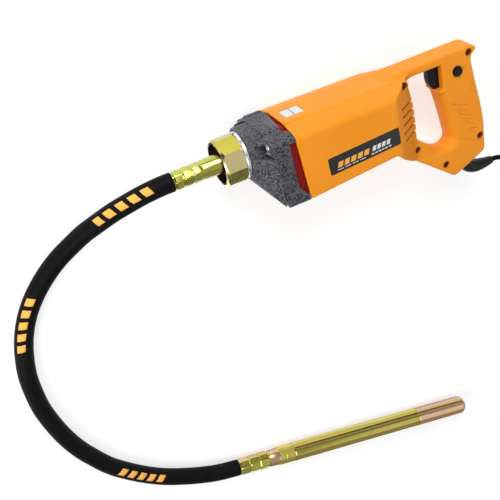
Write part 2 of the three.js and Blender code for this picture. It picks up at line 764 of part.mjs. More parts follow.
// A part of a ring between two radii and two angles, as a (Y, Z) outline.
function sector(inner, outer, from, to) {
  const shape = new THREE.Shape();
  shape.absarc(0, 0, outer, from, to, false);
  shape.absarc(0, 0, inner, to, from, true);
  shape.closePath();
  return shape;
}
const degree = Math.PI / 180;
const POCKET_OUTER = 37;

function statorCore() {
  const outer = rod(STATOR_X, STATOR_R, FINE, 0, MOTOR_Z);
  const bore = rod([-95, -30], ARMATURE_R + 0.8, FINE, 0, MOTOR_Z);
  const pockets = [60, 240].map((start) =>
    alongX(sector(ARMATURE_R - 2, POCKET_OUTER, start * degree, (start + 60) * degree), [-95, -30], 4)
      .translate([0, 0, MOTOR_Z]),
  );
  return cut(outer, [bore, ...pockets]);
}
place(machine, "stator_core", statorCore(), laminate);

// One field coil: two legs through the stator's pockets and an end turn at each end.
function fieldCoil(side) {
  const inner = 27.5;
  const outer = POCKET_OUTER - 0.6;
  const turn = (from, to) => (side > 0 ? [from, to] : [180 - to, 180 - from]);
  const piece = (from, to, range) => {
    const [a, b] = turn(from, to);
    return alongX(sector(inner, outer, a * degree, b * degree), range, 4).translate([0, 0, MOTOR_Z]);
  };
  return joined([
    piece(63, 88, [-98, -31]),
    piece(-88, -63, [-98, -31]),
    piece(-88, 88, [-98, -91]),
    piece(-88, 88, [-37, -31]),
  ]);
}
place(machine, "field_coil_left", fieldCoil(1), copper);
place(machine, "field_coil_right", fieldCoil(-1), copper);

for (const [name, side] of [["left", 1], ["right", -1]]) {
  const span = (a, b) => (side > 0 ? [a, b] : [-b, -a]);
  const holder = block([-115, -102], span(22, 48), [MOTOR_Z - 6, MOTOR_Z + 6]);
  const tunnel = block([-112.8, -104.2], span(20, 44), [MOTOR_Z - 3.8, MOTOR_Z + 3.8]);
  place(machine, `brush_holder_${name}`, holder.subtract(tunnel), brass);
  const brush = block([-112.5, -104.5], span(17.4, 38), [MOTOR_Z - 3.5, MOTOR_Z + 3.5]);
  place(machine, `carbon_brush_${name}`, brush, carbon);
}

// ---- handle fittings ----------------------------------------------------------------------------------
const TRIGGER_HALF = 11;
function trigger() {
  const shape = new THREE.Shape();
  shape.moveTo(-257, 26);
  shape.lineTo(-257.5, 4);
  shape.quadraticCurveTo(-258, -3, -261.5, -8);
  shape.quadraticCurveTo(-265, -12.5, -271, -13.5);
  shape.lineTo(-283, -13.5);
  shape.lineTo(-283, 26);
  shape.closePath();
  return alongY(shape, [-TRIGGER_HALF, TRIGGER_HALF], 4);
}
place(machine, "trigger", trigger(), blackPlastic);
const buttonHole = crossRod(LOCK_X, LOCK_Z, 3.5, [10.5, 15]);
place(machine, "switch_body", block([-318, -291.5], [-14, 14], [-14, 20]).subtract(buttonHole), blackPlastic);

const buttonProfile = [[14.6, 0], [14.6, 3], [17.8, 3], [17.8, 8.4], [23.4, 8.4], [24.4, 7.2], [24.4, 0]];
const button = turnedGeometry(buttonProfile, ROUND).rotateZ(Math.PI / 2);
place(machine, "lock_button", button.translate(LOCK_X, 0, LOCK_Z), blackPlastic);

// The sleeve bends from the handle's lower face back along the cord, and narrows as it goes.
const SLEEVE_PATH = [
  [-320.5, 0, -160],
  [-324.5, 0, -170],
  [-332, 0, -178.5],
  [-344, 0, -184],
  [-360, 0, -186],
  [-377, 0, -186],
];
const SLEEVE_R = [13, 6.6];
const SLEEVE_BULGE = 1.8; // extra radius halfway
const SLEEVE_STEPS = 12;
function cordSleeve() {
  const geometry = swept(SLEEVE_PATH, 1, 12, SLEEVE_STEPS);
  const path = new THREE.CatmullRomCurve3(SLEEVE_PATH.map((p) => new THREE.Vector3(...p)));
  const stations = path.getSpacedPoints(SLEEVE_STEPS);
  const position = geometry.getAttribute("position");
  const point = new THREE.Vector3();
  for (let i = 0; i < position.count; i++) {
    point.fromBufferAttribute(position, i);
    const distances = stations.map((s) => s.distanceTo(point));
    const nearest = distances.indexOf(Math.min(...distances));
    const share = nearest / SLEEVE_STEPS;
    const bulge = SLEEVE_BULGE * Math.sin(Math.PI * share);
    const radius = SLEEVE_R[0] + (SLEEVE_R[1] - SLEEVE_R[0]) * share + bulge;
    point.sub(stations[nearest]).multiplyScalar(radius).add(stations[nearest]);
    position.setXYZ(i, point.x, point.y, point.z);
  }
  return solidOf(geometry);
}
const sleeveCut = alongY(sideOutline(), [-HANDLE_HALF - 1, HANDLE_HALF + 1], 3);
place(machine, "cord_sleeve", cordSleeve().subtract(sleeveCut.translate([0, 0, -GAP])), blackRubber);
place(machine, "cord_clamp", block([-334, -314], [-9, 9], [-149, -138]), blackPlastic);

// ---- hose ---------------------------------------------------------------------------------------------
const HOSE_ROUTE = [
  [259.6, -30, 66],
  [278, -30, 66],
  [305, -27, 64.5],
  [330, -21, 60.5],
  [355, -12, 53],
  [378, 1, 41.5],
  [402, 16, 28.5],
  [425, 32, 19.5],
  [449, 47, 15.8],
  [471, 63, 15.3],
  [492, 82, 15.3],
  [511, 104, 15.3],
  [527, 129, 15.3],
  [540, 158, 15.3],
  [549, 189, 15.3],
  [555, 223, 15.3],
  [556, 258, 15.3],
  [554, 293, 15.3],
  [547, 329, 15.3],
  [537, 365, 15.3],
  [523, 400, 15.3],
  [505, 433, 15.3],
  [485, 464, 15.3],
  [460, 492, 15.3],
  [434, 517, 15.3],
  [405, 540, 15.3],
  [374, 559, 15.5],
  [342, 575, 16.2],
  [309, 588, 17.3],
  [270.5, 598, 18],
];
const HOSE_STEPS = 20;
place(vibrator, "flexible_hose", swept(HOSE_ROUTE, HOSE_R, 10, HOSE_STEPS, HOSE_BORE_R), blackRubber);
place(vibrator, "drive_core", swept(HOSE_ROUTE, CORE_R, 8, HOSE_STEPS), darkSteel);

// ---- poker, built along its own +X from the hose to the tip -------------------------------------------
const poker = new THREE.Group();
poker.position.set(270, 598, POKER_R);
poker.rotation.z = Math.atan2(116.9, -490.6);
vibrator.add(poker);
const NECK_X = [61.3, 112];
const TUBE_X = [112.3, 388];
const TIP_X = [388.3, POKER_LENGTH];
const TUBE_BORE_R = 14.5;
const TIP_BORE_R = 12;
const TIP_BORE_DEPTH = 70;

const pokerFerrule = [
  [0, FERRULE_BORE_R],
  [61, FERRULE_BORE_R],
  [61, 13.5],
  [40, 16.2],
  [21, 15.2],
  [3, 16.4],
  [0, 15.4],
];
place(poker, "poker_ferrule", turned(pokerFerrule), yellowZinc);
const neck = [
  [NECK_X[0], 7],
  [NECK_X[1], 7],
  [NECK_X[1], 17.4],
  [80, 17.4],
  [78, 16],
  [76, 14],
  [NECK_X[0], 14],
];
place(poker, "poker_neck", turned(neck), yellowZinc);
place(poker, "poker_tube", ring(TUBE_X, TUBE_BORE_R, POKER_R, FINE), yellowZinc);
const tip = [
  [TIP_X[0] + TIP_BORE_DEPTH, 0],
  [TIP_X[0] + TIP_BORE_DEPTH, TIP_BORE_R],
  [TIP_X[0], TIP_BORE_R],
  [TIP_X[0], POKER_R],
  [490, POKER_R],
  [497, 15.5],
  [502, 11],
  [TIP_X[1], 6],
  [TIP_X[1], 0],
];
place(poker, "poker_tip", turned(tip, FINE), yellowZinc);
place(poker, "poker_seal", ring([113, 117], CORE_R + GAP, TUBE_BORE_R - 2 * GAP), blackRubber);
place(poker, "poker_bearing_rear", ring([118, 130], 6 + GAP, TUBE_BORE_R - 2 * GAP), brightSteel);
place(poker, "poker_bearing_front", ring([370, 382], 6 + GAP, TUBE_BORE_R - 2 * GAP), brightSteel);

const rotorShaft = rod([126, 384], 6);
const weight = rod([134, 366], 13).intersect(block([130, 370], [-14, 14], [-14, -1]));
const rotorSocket = block([125, 140], [-3.2, 3.2], [-3.2, 3.2]);
place(poker, "poker_rotor", rotorShaft.add(weight).subtract(rotorSocket), darkSteel);
const pokerCoreEnd = rod([0.6, 118], CORE_R, SMALL).add(block([117, 138], [-2.8, 2.8], [-2.8, 2.8]));
place(poker, "core_end_poker", pokerCoreEnd, brightSteel);

// ---- power cord, its coil and its plug ----------------------------------------------------------------
const CORD_ROUTE = [
  [-297.8, 156, 66],
  [-307, 156.4, 66],
  [-322, 162, 63],
  [-335, 166, 55],
  [-345, 170, 43],
  [-355, 174, 30],
  [-367, 179, 17.5],
  [-380, 184, 8.5],
  [-393, 188.5, 5],
  [-406, 191, 4.6],
];
const COIL_CENTRE = [-440, 244];
const COIL_TURN_R = COIL_MEAN_R + 2 * CORD_R; // outermost turn
const COIL_HEIGHT = 17.6;
const TAIL_Z = 13;
const TAIL_START = 33; // where the tail leaves the coil's outer surface, beyond its tangent point
const TAIL_LENGTH = 32;
place(vibrator, "power_cord", swept(CORD_ROUTE, CORD_R, 8, 16), blackRubber);

const coilHalf = 3 * CORD_R;
const coilProfile = [
  [GAP, COIL_MEAN_R - coilHalf],
  [COIL_HEIGHT, COIL_MEAN_R - coilHalf],
  [COIL_HEIGHT, COIL_MEAN_R + coilHalf],
  [GAP, COIL_MEAN_R + coilHalf],
];
const coil = turnedGeometry(coilProfile, FINE).rotateY(-Math.PI / 2);
place(vibrator, "power_cord_coil", coil.translate(COIL_CENTRE[0], COIL_CENTRE[1], 0), blackRubber);

const plug = new THREE.Group();
plug.position.set(COIL_CENTRE[0] - COIL_TURN_R, COIL_CENTRE[1] + TAIL_START, TAIL_Z);
plug.rotation.z = Math.PI / 2;
vibrator.add(plug);
const TAIL_ROUTE = [[0, 0, 0], [TAIL_LENGTH / 2, 0, 0], [TAIL_LENGTH, 0, 0]];
place(plug, "power_cord_tail", swept(TAIL_ROUTE, CORD_R, 8, 2), blackRubber);

const PLUG_R = 12.7;
const PLUG_LENGTH = 42;
const PIN_SPACING = 19;
const PIN_R = 2.4;
const plugFront = TAIL_LENGTH + GAP + PLUG_LENGTH;
const plugProfile = [
  [TAIL_LENGTH + GAP, 0],
  [TAIL_LENGTH + GAP, 5.2],
  [TAIL_LENGTH + 14, 6.6],
  [TAIL_LENGTH + 20, 10.5],
  [TAIL_LENGTH + 30, PLUG_R],
  [plugFront - 2, PLUG_R],
  [plugFront, PLUG_R - 2],
  [plugFront, 0],
];
const pinSpan = [plugFront - 8, plugFront + 19];
const pinPlaces = [-PIN_SPACING / 2, PIN_SPACING / 2];
const pinHoles = pinPlaces.map((y) => rod([pinSpan[0] - GAP, pinSpan[1]], PIN_R + GAP, SMALL, y));
place(plug, "plug_body", cut(turned(plugProfile), pinHoles), blackRubber);
pinPlaces.forEach((y, i) => {
  place(plug, `plug_pin_${i + 1}`, rod(pinSpan, PIN_R, SMALL, y), brightSteel);
});

export default vibrator;
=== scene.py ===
"""A hand-held electric concrete vibrator lying on its right side, on a pale studio floor."""

import json
import math

import bmesh
import bpy
from mathutils import Matrix, Vector
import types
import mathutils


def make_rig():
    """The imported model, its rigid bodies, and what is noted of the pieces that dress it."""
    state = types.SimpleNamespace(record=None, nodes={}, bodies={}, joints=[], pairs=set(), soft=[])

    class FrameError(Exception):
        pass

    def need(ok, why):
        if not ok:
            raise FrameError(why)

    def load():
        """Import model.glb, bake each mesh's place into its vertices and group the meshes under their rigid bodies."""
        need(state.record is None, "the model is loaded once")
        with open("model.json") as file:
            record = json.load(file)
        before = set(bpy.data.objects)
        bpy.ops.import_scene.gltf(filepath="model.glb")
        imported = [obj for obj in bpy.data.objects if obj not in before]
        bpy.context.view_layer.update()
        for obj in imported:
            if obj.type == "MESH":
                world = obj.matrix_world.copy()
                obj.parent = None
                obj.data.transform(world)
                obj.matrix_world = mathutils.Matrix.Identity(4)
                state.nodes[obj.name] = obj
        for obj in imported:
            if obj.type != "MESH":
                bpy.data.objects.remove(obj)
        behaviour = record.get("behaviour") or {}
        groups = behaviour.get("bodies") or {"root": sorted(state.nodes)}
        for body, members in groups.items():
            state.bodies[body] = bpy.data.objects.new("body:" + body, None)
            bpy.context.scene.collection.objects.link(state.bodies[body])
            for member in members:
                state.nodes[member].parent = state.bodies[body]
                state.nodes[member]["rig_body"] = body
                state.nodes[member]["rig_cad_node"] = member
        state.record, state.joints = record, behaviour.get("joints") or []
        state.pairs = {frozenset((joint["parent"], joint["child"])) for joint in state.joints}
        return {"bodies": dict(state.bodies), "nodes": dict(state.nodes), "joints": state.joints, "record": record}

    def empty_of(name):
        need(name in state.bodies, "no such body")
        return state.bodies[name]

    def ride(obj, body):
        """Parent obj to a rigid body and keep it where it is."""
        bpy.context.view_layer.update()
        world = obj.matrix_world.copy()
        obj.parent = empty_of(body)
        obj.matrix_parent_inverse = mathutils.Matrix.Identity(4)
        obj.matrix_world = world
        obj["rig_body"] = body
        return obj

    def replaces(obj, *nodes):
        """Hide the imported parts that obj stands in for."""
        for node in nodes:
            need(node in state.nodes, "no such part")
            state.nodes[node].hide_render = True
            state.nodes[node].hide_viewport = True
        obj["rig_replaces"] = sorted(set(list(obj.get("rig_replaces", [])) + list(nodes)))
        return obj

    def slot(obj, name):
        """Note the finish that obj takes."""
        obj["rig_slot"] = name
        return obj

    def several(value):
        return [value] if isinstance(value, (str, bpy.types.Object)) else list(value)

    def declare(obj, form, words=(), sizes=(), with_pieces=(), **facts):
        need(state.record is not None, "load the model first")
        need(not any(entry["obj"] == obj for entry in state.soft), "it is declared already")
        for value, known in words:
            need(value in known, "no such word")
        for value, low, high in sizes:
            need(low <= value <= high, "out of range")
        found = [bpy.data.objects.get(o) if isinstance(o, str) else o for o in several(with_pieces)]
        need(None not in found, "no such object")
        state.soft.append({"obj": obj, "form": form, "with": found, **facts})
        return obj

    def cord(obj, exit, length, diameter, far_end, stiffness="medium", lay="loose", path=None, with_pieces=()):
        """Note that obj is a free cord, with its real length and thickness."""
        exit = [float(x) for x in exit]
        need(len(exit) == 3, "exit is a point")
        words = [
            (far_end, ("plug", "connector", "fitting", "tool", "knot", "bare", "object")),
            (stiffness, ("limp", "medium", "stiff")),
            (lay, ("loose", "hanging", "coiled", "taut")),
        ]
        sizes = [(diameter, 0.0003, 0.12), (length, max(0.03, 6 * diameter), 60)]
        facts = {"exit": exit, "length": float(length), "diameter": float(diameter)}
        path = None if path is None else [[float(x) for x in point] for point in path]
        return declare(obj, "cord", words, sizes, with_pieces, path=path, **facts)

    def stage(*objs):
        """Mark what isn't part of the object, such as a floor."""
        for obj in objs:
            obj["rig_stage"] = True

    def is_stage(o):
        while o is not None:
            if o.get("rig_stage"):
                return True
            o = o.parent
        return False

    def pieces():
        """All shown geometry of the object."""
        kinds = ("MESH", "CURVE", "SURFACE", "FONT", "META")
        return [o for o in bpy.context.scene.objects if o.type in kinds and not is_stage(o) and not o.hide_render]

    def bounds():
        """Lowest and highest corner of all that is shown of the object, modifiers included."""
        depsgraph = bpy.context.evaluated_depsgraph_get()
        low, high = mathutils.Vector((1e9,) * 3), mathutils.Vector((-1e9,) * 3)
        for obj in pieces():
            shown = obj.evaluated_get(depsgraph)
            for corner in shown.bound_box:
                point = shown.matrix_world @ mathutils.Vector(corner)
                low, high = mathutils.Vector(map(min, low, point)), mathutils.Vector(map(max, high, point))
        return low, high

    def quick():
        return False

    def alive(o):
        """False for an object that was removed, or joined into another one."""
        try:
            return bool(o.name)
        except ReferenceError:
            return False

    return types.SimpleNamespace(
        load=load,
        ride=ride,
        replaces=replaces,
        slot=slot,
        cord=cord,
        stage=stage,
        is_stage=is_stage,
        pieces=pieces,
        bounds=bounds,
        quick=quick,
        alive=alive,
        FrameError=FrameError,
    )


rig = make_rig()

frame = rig.load()
CAD_BOX = [list(map(float, corner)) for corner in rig.bounds()]
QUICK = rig.quick()
MM = 0.001

# The motor unit's own frame, in millimetres: +X towards the nose, +Y towards its left side, +Z its top.
MACHINE = Matrix(((MM, 0, 0, 0.08), (0, 0, -MM, -0.03), (0, MM, 0, 0.066), (0, 0, 0, 1)))
# The poker's own frame, in millimetres: +X from the hose to the tip.
POKER_TURN = math.atan2(116.9, -490.6)
POKER = Matrix.Translation((0.270, 0.598, 0.018)) @ Matrix.Rotation(POKER_TURN, 4, "Z") @ Matrix.Scale(MM, 4)

# ---- camera, light and floor ----
CAMERA_AT = (0.5695, -0.6813, 1.3098)
CAMERA_RIGHT = (-0.8882, 0.1949, 0.4160)
CAMERA_UP = (-0.3774, -0.8259, -0.4188)
CAMERA_BACK = (0.2619, -0.5290, 0.8072)
LENS = 69.9  # millimetres, on a sensor 36 mm wide
FLOOR_HALF = 8
FLOOR_Z = -0.0004  # just under the pieces, so that no two faces lie in one plane


def add_camera():
    data = bpy.data.cameras.new("camera")
    data.sensor_width = 36
    data.lens = LENS
    data.clip_end = 30
    camera = bpy.data.objects.new("camera", data)
    columns = [Vector(v) for v in (CAMERA_RIGHT, CAMERA_UP, CAMERA_BACK, CAMERA_AT)]
    camera.matrix_world = Matrix([[c[i] for c in columns] for i in range(3)] + [[0, 0, 0, 1]])
    bpy.context.collection.objects.link(camera)
    bpy.context.scene.camera = camera


def add_light(name, at, aim, size, power):
    data = bpy.data.lights.new(name, "AREA")
    data.size = size
    data.energy = power
    light = bpy.data.objects.new(name, data)
    turn = (Vector(at) - Vector(aim)).to_track_quat("Z", "Y")
    light.matrix_world = Matrix.Translation(at) @ turn.to_matrix().to_4x4()
    bpy.context.collection.objects.link(light)


def fill_ramp(ramp, stops):
    """Gives a colour ramp its (place, colour) stops."""
    while len(ramp.elements) < len(stops):
        ramp.elements.new(0.5)
    for element, (at, color) in zip(ramp.elements, stops):
        element.position = at
        element.color = (*color, 1)


def add_world():
    """Soft surroundings whose bright and dark bands show in polished metal."""
    world = bpy.data.worlds.new("studio")
    world.use_nodes = True
    bpy.context.scene.world = world
    tree = world.node_tree
    direction = tree.nodes.new("ShaderNodeTexCoord")
    split = tree.nodes.new("ShaderNodeSeparateXYZ")
    bands = tree.nodes.new("ShaderNodeValToRGB")
    height = tree.nodes.new("ShaderNodeMapRange")
    height.inputs["From Min"].default_value = -1
    tree.links.new(direction.outputs["Generated"], split.inputs[0])
    tree.links.new(split.outputs["Z"], height.inputs["Value"])
    tree.links.new(height.outputs[0], bands.inputs["Fac"])
    # Height, from 0 straight down to 1 straight up, and brightness.
    stops = [
        (0.0, 0.9), (0.5, 0.75), (0.54, 0.12), (0.62, 0.16), (0.66, 0.95), (0.76, 1.0), (0.8, 0.3),
        (0.88, 0.9),
    ]
    fill_ramp(bands.color_ramp, [(at, (level, level, level)) for at, level in stops])
    tree.links.new(bands.outputs["Color"], tree.nodes["Background"].inputs["Color"])
    tree.nodes["Background"].inputs["Strength"].default_value = 0.55


def add_stage():
    """Lights, and a pale floor that glows a little, so that it stays near white."""
    add_world()
    bpy.context.scene.view_settings.view_transform = "Standard"
    add_light("key", (0.3, -2.0, 1.4), (0.0, 0.0, 0), 1.4, 44)
    add_light("fill", (-1.6, 0.9, 1.6), (0, 0.1, 0), 2.0, 6)
    add_light("edge", (1.7, 0.3, 1.1), (0.1, 0.1, 0), 1.0, 18)
    mesh = bpy.data.meshes.new("floor")
    corners = [(x * FLOOR_HALF, y * FLOOR_HALF, FLOOR_Z) for x, y in ((-1, -1), (1, -1), (1, 1), (-1, 1))]
    mesh.from_pydata(corners, [], [(0, 1, 2, 3)])
    floor = bpy.data.objects.new("floor", mesh)
    bpy.context.collection.objects.link(floor)
    paint = Paint("studio_floor", (0.5, 0.5, 0.5), 0.7, Specular_Ior_Level=0.2)
    paint.set("Roughness", paint.grey(paint.noise(3, 3), 0.65, 0.75))
    paint.shader.inputs["Emission Color"].default_value = (1, 1, 1, 1)
    paint.shader.inputs["Emission Strength"].default_value = 0.6
    mesh.materials.append(paint.material)
    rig.stage(floor)


# ---- materials ----
class Paint:
    """A Principled material, with nodes added one by one."""

    def __init__(self, name, color, roughness, metallic=0.0, **extra):
        self.material = bpy.data.materials.new(name)
        self.material.use_nodes = True
        self.tree = self.material.node_tree
        self.shader = self.tree.nodes["Principled BSDF"]
        self.shader.inputs["Base Color"].default_value = (*color, 1)
        self.shader.inputs["Roughness"].default_value = roughness
        self.shader.inputs["Metallic"].default_value = metallic
        for key, value in extra.items():
            self.shader.inputs[key.replace("_", " ").title().replace("Ior", "IOR")].default_value = value
        self.place = self.node("ShaderNodeTexCoord").outputs["Object"]

    def node(self, kind, **settings):
        made = self.tree.nodes.new(kind)
        for key, value in settings.items():
            setattr(made, key, value)
        return made

    def link(self, source, target):
        self.tree.links.new(source, target)

    def noise(self, scale, detail=2.0, roughness=0.5, stretch=(1, 1, 1)):
        mapping = self.node("ShaderNodeMapping")
        mapping.inputs["Scale"].default_value = stretch
        self.link(self.place, mapping.inputs["Vector"])
        made = self.node("ShaderNodeTexNoise")
        made.inputs["Scale"].default_value = scale
        made.inputs["Detail"].default_value = detail
        made.inputs["Roughness"].default_value = roughness
        self.link(mapping.outputs[0], made.inputs["Vector"])
        return made.outputs["Fac"]

    def veins(self, scale):
        """The distance to the nearest border between cells."""
        made = self.node("ShaderNodeTexVoronoi", feature="DISTANCE_TO_EDGE")
        made.inputs["Scale"].default_value = scale
        self.link(self.place, made.inputs["Vector"])
        return made.outputs["Distance"]

    def ramp(self, source, stops):
        made = self.node("ShaderNodeValToRGB")
        fill_ramp(made.color_ramp, stops)
        self.link(source, made.inputs["Fac"])
        return made.outputs["Color"]

    def grey(self, source, low, high, start=0.0, end=1.0):
        made = self.node("ShaderNodeMapRange")
        for key, value in (("From Min", start), ("From Max", end), ("To Min", low), ("To Max", high)):
            made.inputs[key].default_value = value
        self.link(source, made.inputs["Value"])
        return made.outputs[0]

    def bump(self, source, strength, distance):
        made = self.node("ShaderNodeBump")
        made.inputs["Strength"].default_value = strength
        made.inputs["Distance"].default_value = distance
        self.link(source, made.inputs["Height"])
        previous = self.shader.inputs["Normal"]
        if previous.is_linked:
            self.link(previous.links[0].from_socket, made.inputs["Normal"])
        self.link(made.outputs[0], previous)

    def edges(self):
        """How far a point lies on a convex edge, where wear and a painted highlight make it paler."""
        geometry = self.node("ShaderNodeNewGeometry")
        return self.grey(geometry.outputs["Pointiness"], 0, 1, 0.51, 0.58)

    def set(self, socket, source):
        self.link(source, self.shader.inputs[socket])


def orange_plastic():
    p = Paint("orange_nylon", (0.80, 0.27, 0.014), 0.45, Specular_Ior_Level=0.14)
    p.shader.inputs["Subsurface Weight"].default_value = 0.05
    p.shader.inputs["Subsurface Radius"].default_value = (0.004, 0.002, 0.001)
    patches = p.noise(9, 3)
    p.set("Base Color", p.ramp(patches, [(0.3, (0.78, 0.262, 0.012)), (0.7, (0.82, 0.282, 0.016))]))
    p.set("Roughness", p.grey(p.noise(60, 4), 0.36, 0.5))
    p.bump(p.noise(1800, 2), 0.10, 0.0001)
    return p.material


def black_plastic():
    p = Paint("black_nylon", (0.005, 0.005, 0.006), 0.42, Specular_Ior_Level=0.2)
    p.set("Roughness", p.grey(p.noise(80, 4), 0.32, 0.5))
    p.bump(p.noise(2200, 2), 0.15, 0.0001)
    return p.material


def red_plastic():
    p = Paint("red_nylon", (0.26, 0.003, 0.002), 0.4, Specular_Ior_Level=0.15)
    p.set("Base Color", p.ramp(p.noise(34, 3), [(0.3, (0.17, 0.002, 0.001)), (0.7, (0.30, 0.004, 0.002))]))
    p.bump(p.noise(1500, 2), 0.1, 0.0001)
    return p.material


def rubber(name="black_rubber", roughness=0.55, gloss=0.08):
    p = Paint(name, (0.004, 0.004, 0.004), roughness, Specular_Ior_Level=gloss)
    shades = [(0.3, (0.003, 0.003, 0.003)), (0.75, (0.0055, 0.005, 0.0045))]
    p.set("Base Color", p.ramp(p.noise(40, 4), shades))
    p.set("Roughness", p.grey(p.noise(160, 3), roughness - 0.08, roughness + 0.1))
    p.bump(p.noise(900, 3), 0.2, 0.00015)
    return p.material


def hammertone():
    """Grey hammer paint: pale islands between dark veins, and paler on convex edges, as wear and as a painted
    highlight.
    """
    p = Paint("hammertone_casting", (0.06, 0.062, 0.07), 0.42, 0.35)
    warp = p.noise(240, 3, 0.6)
    veins = p.veins(430)
    speckle = p.node("ShaderNodeMath", operation="MULTIPLY")
    p.link(p.grey(veins, 0.0, 1.0, 0.0, 0.28), speckle.inputs[0])
    p.link(p.grey(warp, 0.35, 1.25, 0.35, 0.65), speckle.inputs[1])
    stops = [(0.14, (0.006, 0.006, 0.009)), (0.40, (0.058, 0.059, 0.069)), (0.75, (0.17, 0.172, 0.192))]
    # Paler on convex edges: wear, and a painted highlight along them.
    edge_wear_and_highlight = p.node("ShaderNodeMix", data_type="RGBA")
    p.link(p.edges(), edge_wear_and_highlight.inputs["Factor"])
    p.link(p.ramp(speckle.outputs[0], stops), edge_wear_and_highlight.inputs["A"])
    edge_wear_and_highlight.inputs["B"].default_value = (0.13, 0.133, 0.145, 1)
    p.set("Base Color", edge_wear_and_highlight.outputs["Result"])
    p.set("Roughness", p.grey(speckle.outputs[0], 0.55, 0.32))
    p.bump(speckle.outputs[0], 0.55, 0.0005)
    return p.material


def yellow_zinc(name, painted_light_axis, tints_and_painted_light, roughness, ripple=(70, 0.16, 0.0008)):
    """Passivated zinc: its tint changes at random over the surface, and its colour also follows the way that each face
    turns, which paints in highlights and reflections.

    The list of colours runs from faces turned away from the given direction to faces turned to it. The ripple is the
    scale, the strength and the depth of a faint waviness.
    """
    p = Paint(name, tints_and_painted_light[0], roughness, 1.0)
    # The colour follows the direction of each face: painted highlights and reflections.
    turned = p.node("ShaderNodeVectorMath", operation="DOT_PRODUCT")
    p.link(p.node("ShaderNodeTexCoord").outputs["Normal"], turned.inputs[0])
    turned.inputs[1].default_value = painted_light_axis
    # A random change of tint, added to that painted light.
    drift_and_painted_light = p.node("ShaderNodeMath", operation="MULTIPLY_ADD")
    p.link(p.noise(22, 3, 0.6, (0.5, 1.0, 1.0)), drift_and_painted_light.inputs[0])
    drift_and_painted_light.inputs[1].default_value = 0.4
    p.link(turned.outputs["Value"], drift_and_painted_light.inputs[2])
    share = p.grey(drift_and_painted_light.outputs[0], 0.0, 1.0, -0.2, 1.25)
    p.set("Base Color", p.ramp(share, [(i / (len(tints_and_painted_light) - 1), tint) for i, tint in enumerate(tints_and_painted_light)]))
    p.set("Roughness", p.grey(p.noise(120, 4), roughness - 0.06, roughness + 0.12))
    scale, strength, depth = ripple
    p.bump(p.noise(scale, 2), strength, depth)
    return p.material


def steel(name, color, roughness):
    p = Paint(name, color, roughness, 1.0)
    p.set("Roughness", p.grey(p.noise(220, 4), roughness - 0.08, roughness + 0.12))
    p.bump(p.noise(700, 3), 0.08, 0.0001)
    return p.material


def plain(name, color, roughness, metallic=0.0):
    p = Paint(name, color, roughness, metallic)
    p.set("Roughness", p.grey(p.noise(150, 3), roughness - 0.06, roughness + 0.08))
    p.bump(p.noise(900, 2), 0.06, 0.0001)
    return p.material


add_camera()
add_stage()
ORANGE = orange_plastic()
BLACK = black_plastic()
RED = red_plastic()
RUBBER = rubber()
GLOSSY_RUBBER = rubber("glossy_rubber", 0.4, 0.3)
CASTING = hammertone()
OLIVE = (0.42, 0.44, 0.07)
GREEN = (0.50, 0.60, 0.10)
MUSTARD = (0.66, 0.52, 0.08)
GOLD = (0.80, 0.66, 0.18)
LIME = (0.98, 0.92, 0.26)
CREAM = (1.0, 0.84, 0.44)
AMBER = (0.62, 0.42, 0.14)
PINK = (0.72, 0.48, 0.36)
PLUM = (0.34, 0.20, 0.16)
# Zinc pieces take their colours by how their faces turn to this direction: painted highlights and reflections.
TO_LIGHT = (0, -0.5, 0.86)
# Colour lists for yellow_zinc, ordered by the way a face turns: the plating's tint, with painted highlights and
# reflections in it.
NUT_TINTS_AND_PAINTED_LIGHT = [LIME, CREAM, PINK, MUSTARD, OLIVE, OLIVE]
FERRULE_TINTS_AND_PAINTED_LIGHT = [PLUM, PINK, OLIVE, AMBER, PINK, GREEN, OLIVE, GOLD]
POKER_TINTS_AND_PAINTED_LIGHT = [PLUM, PINK, OLIVE, GOLD, OLIVE, AMBER, OLIVE]
ZINC_NUT = yellow_zinc("zinc_nut", (0, -0.9, -0.45), NUT_TINTS_AND_PAINTED_LIGHT, 0.12, (60, 0.3, 0.0014))
ZINC_FERRULE = yellow_zinc("zinc_ferrule", TO_LIGHT, FERRULE_TINTS_AND_PAINTED_LIGHT, 0.16)
ZINC_POKER = yellow_zinc("zinc_poker", TO_LIGHT, POKER_TINTS_AND_PAINTED_LIGHT, 0.14)
ZINC_NECK = yellow_zinc("zinc_neck", TO_LIGHT, [OLIVE, AMBER, GOLD, OLIVE, GOLD], 0.34)
ZINC_TIP = yellow_zinc("zinc_tip", TO_LIGHT, [PLUM, PINK, PLUM, PINK, AMBER, PINK], 0.18)
# A near-black zinc for the nut's bore: painted shade inside the nut.
ZINC_BORE_SHADE = yellow_zinc("zinc_bore_shade", (0, 0, 1), [(0.03, 0.02, 0.015), (0.08, 0.05, 0.03)], 0.5)
BRIGHT = steel("bright_steel", (0.72, 0.73, 0.74), 0.25)
ALUMINIUM = steel("machined_aluminium", (0.80, 0.81, 0.83), 0.3)
PLATED = plain("plated_steel", (0.78, 0.79, 0.80), 0.36, 0.55)
DARK = steel("dark_steel", (0.22, 0.22, 0.23), 0.42)
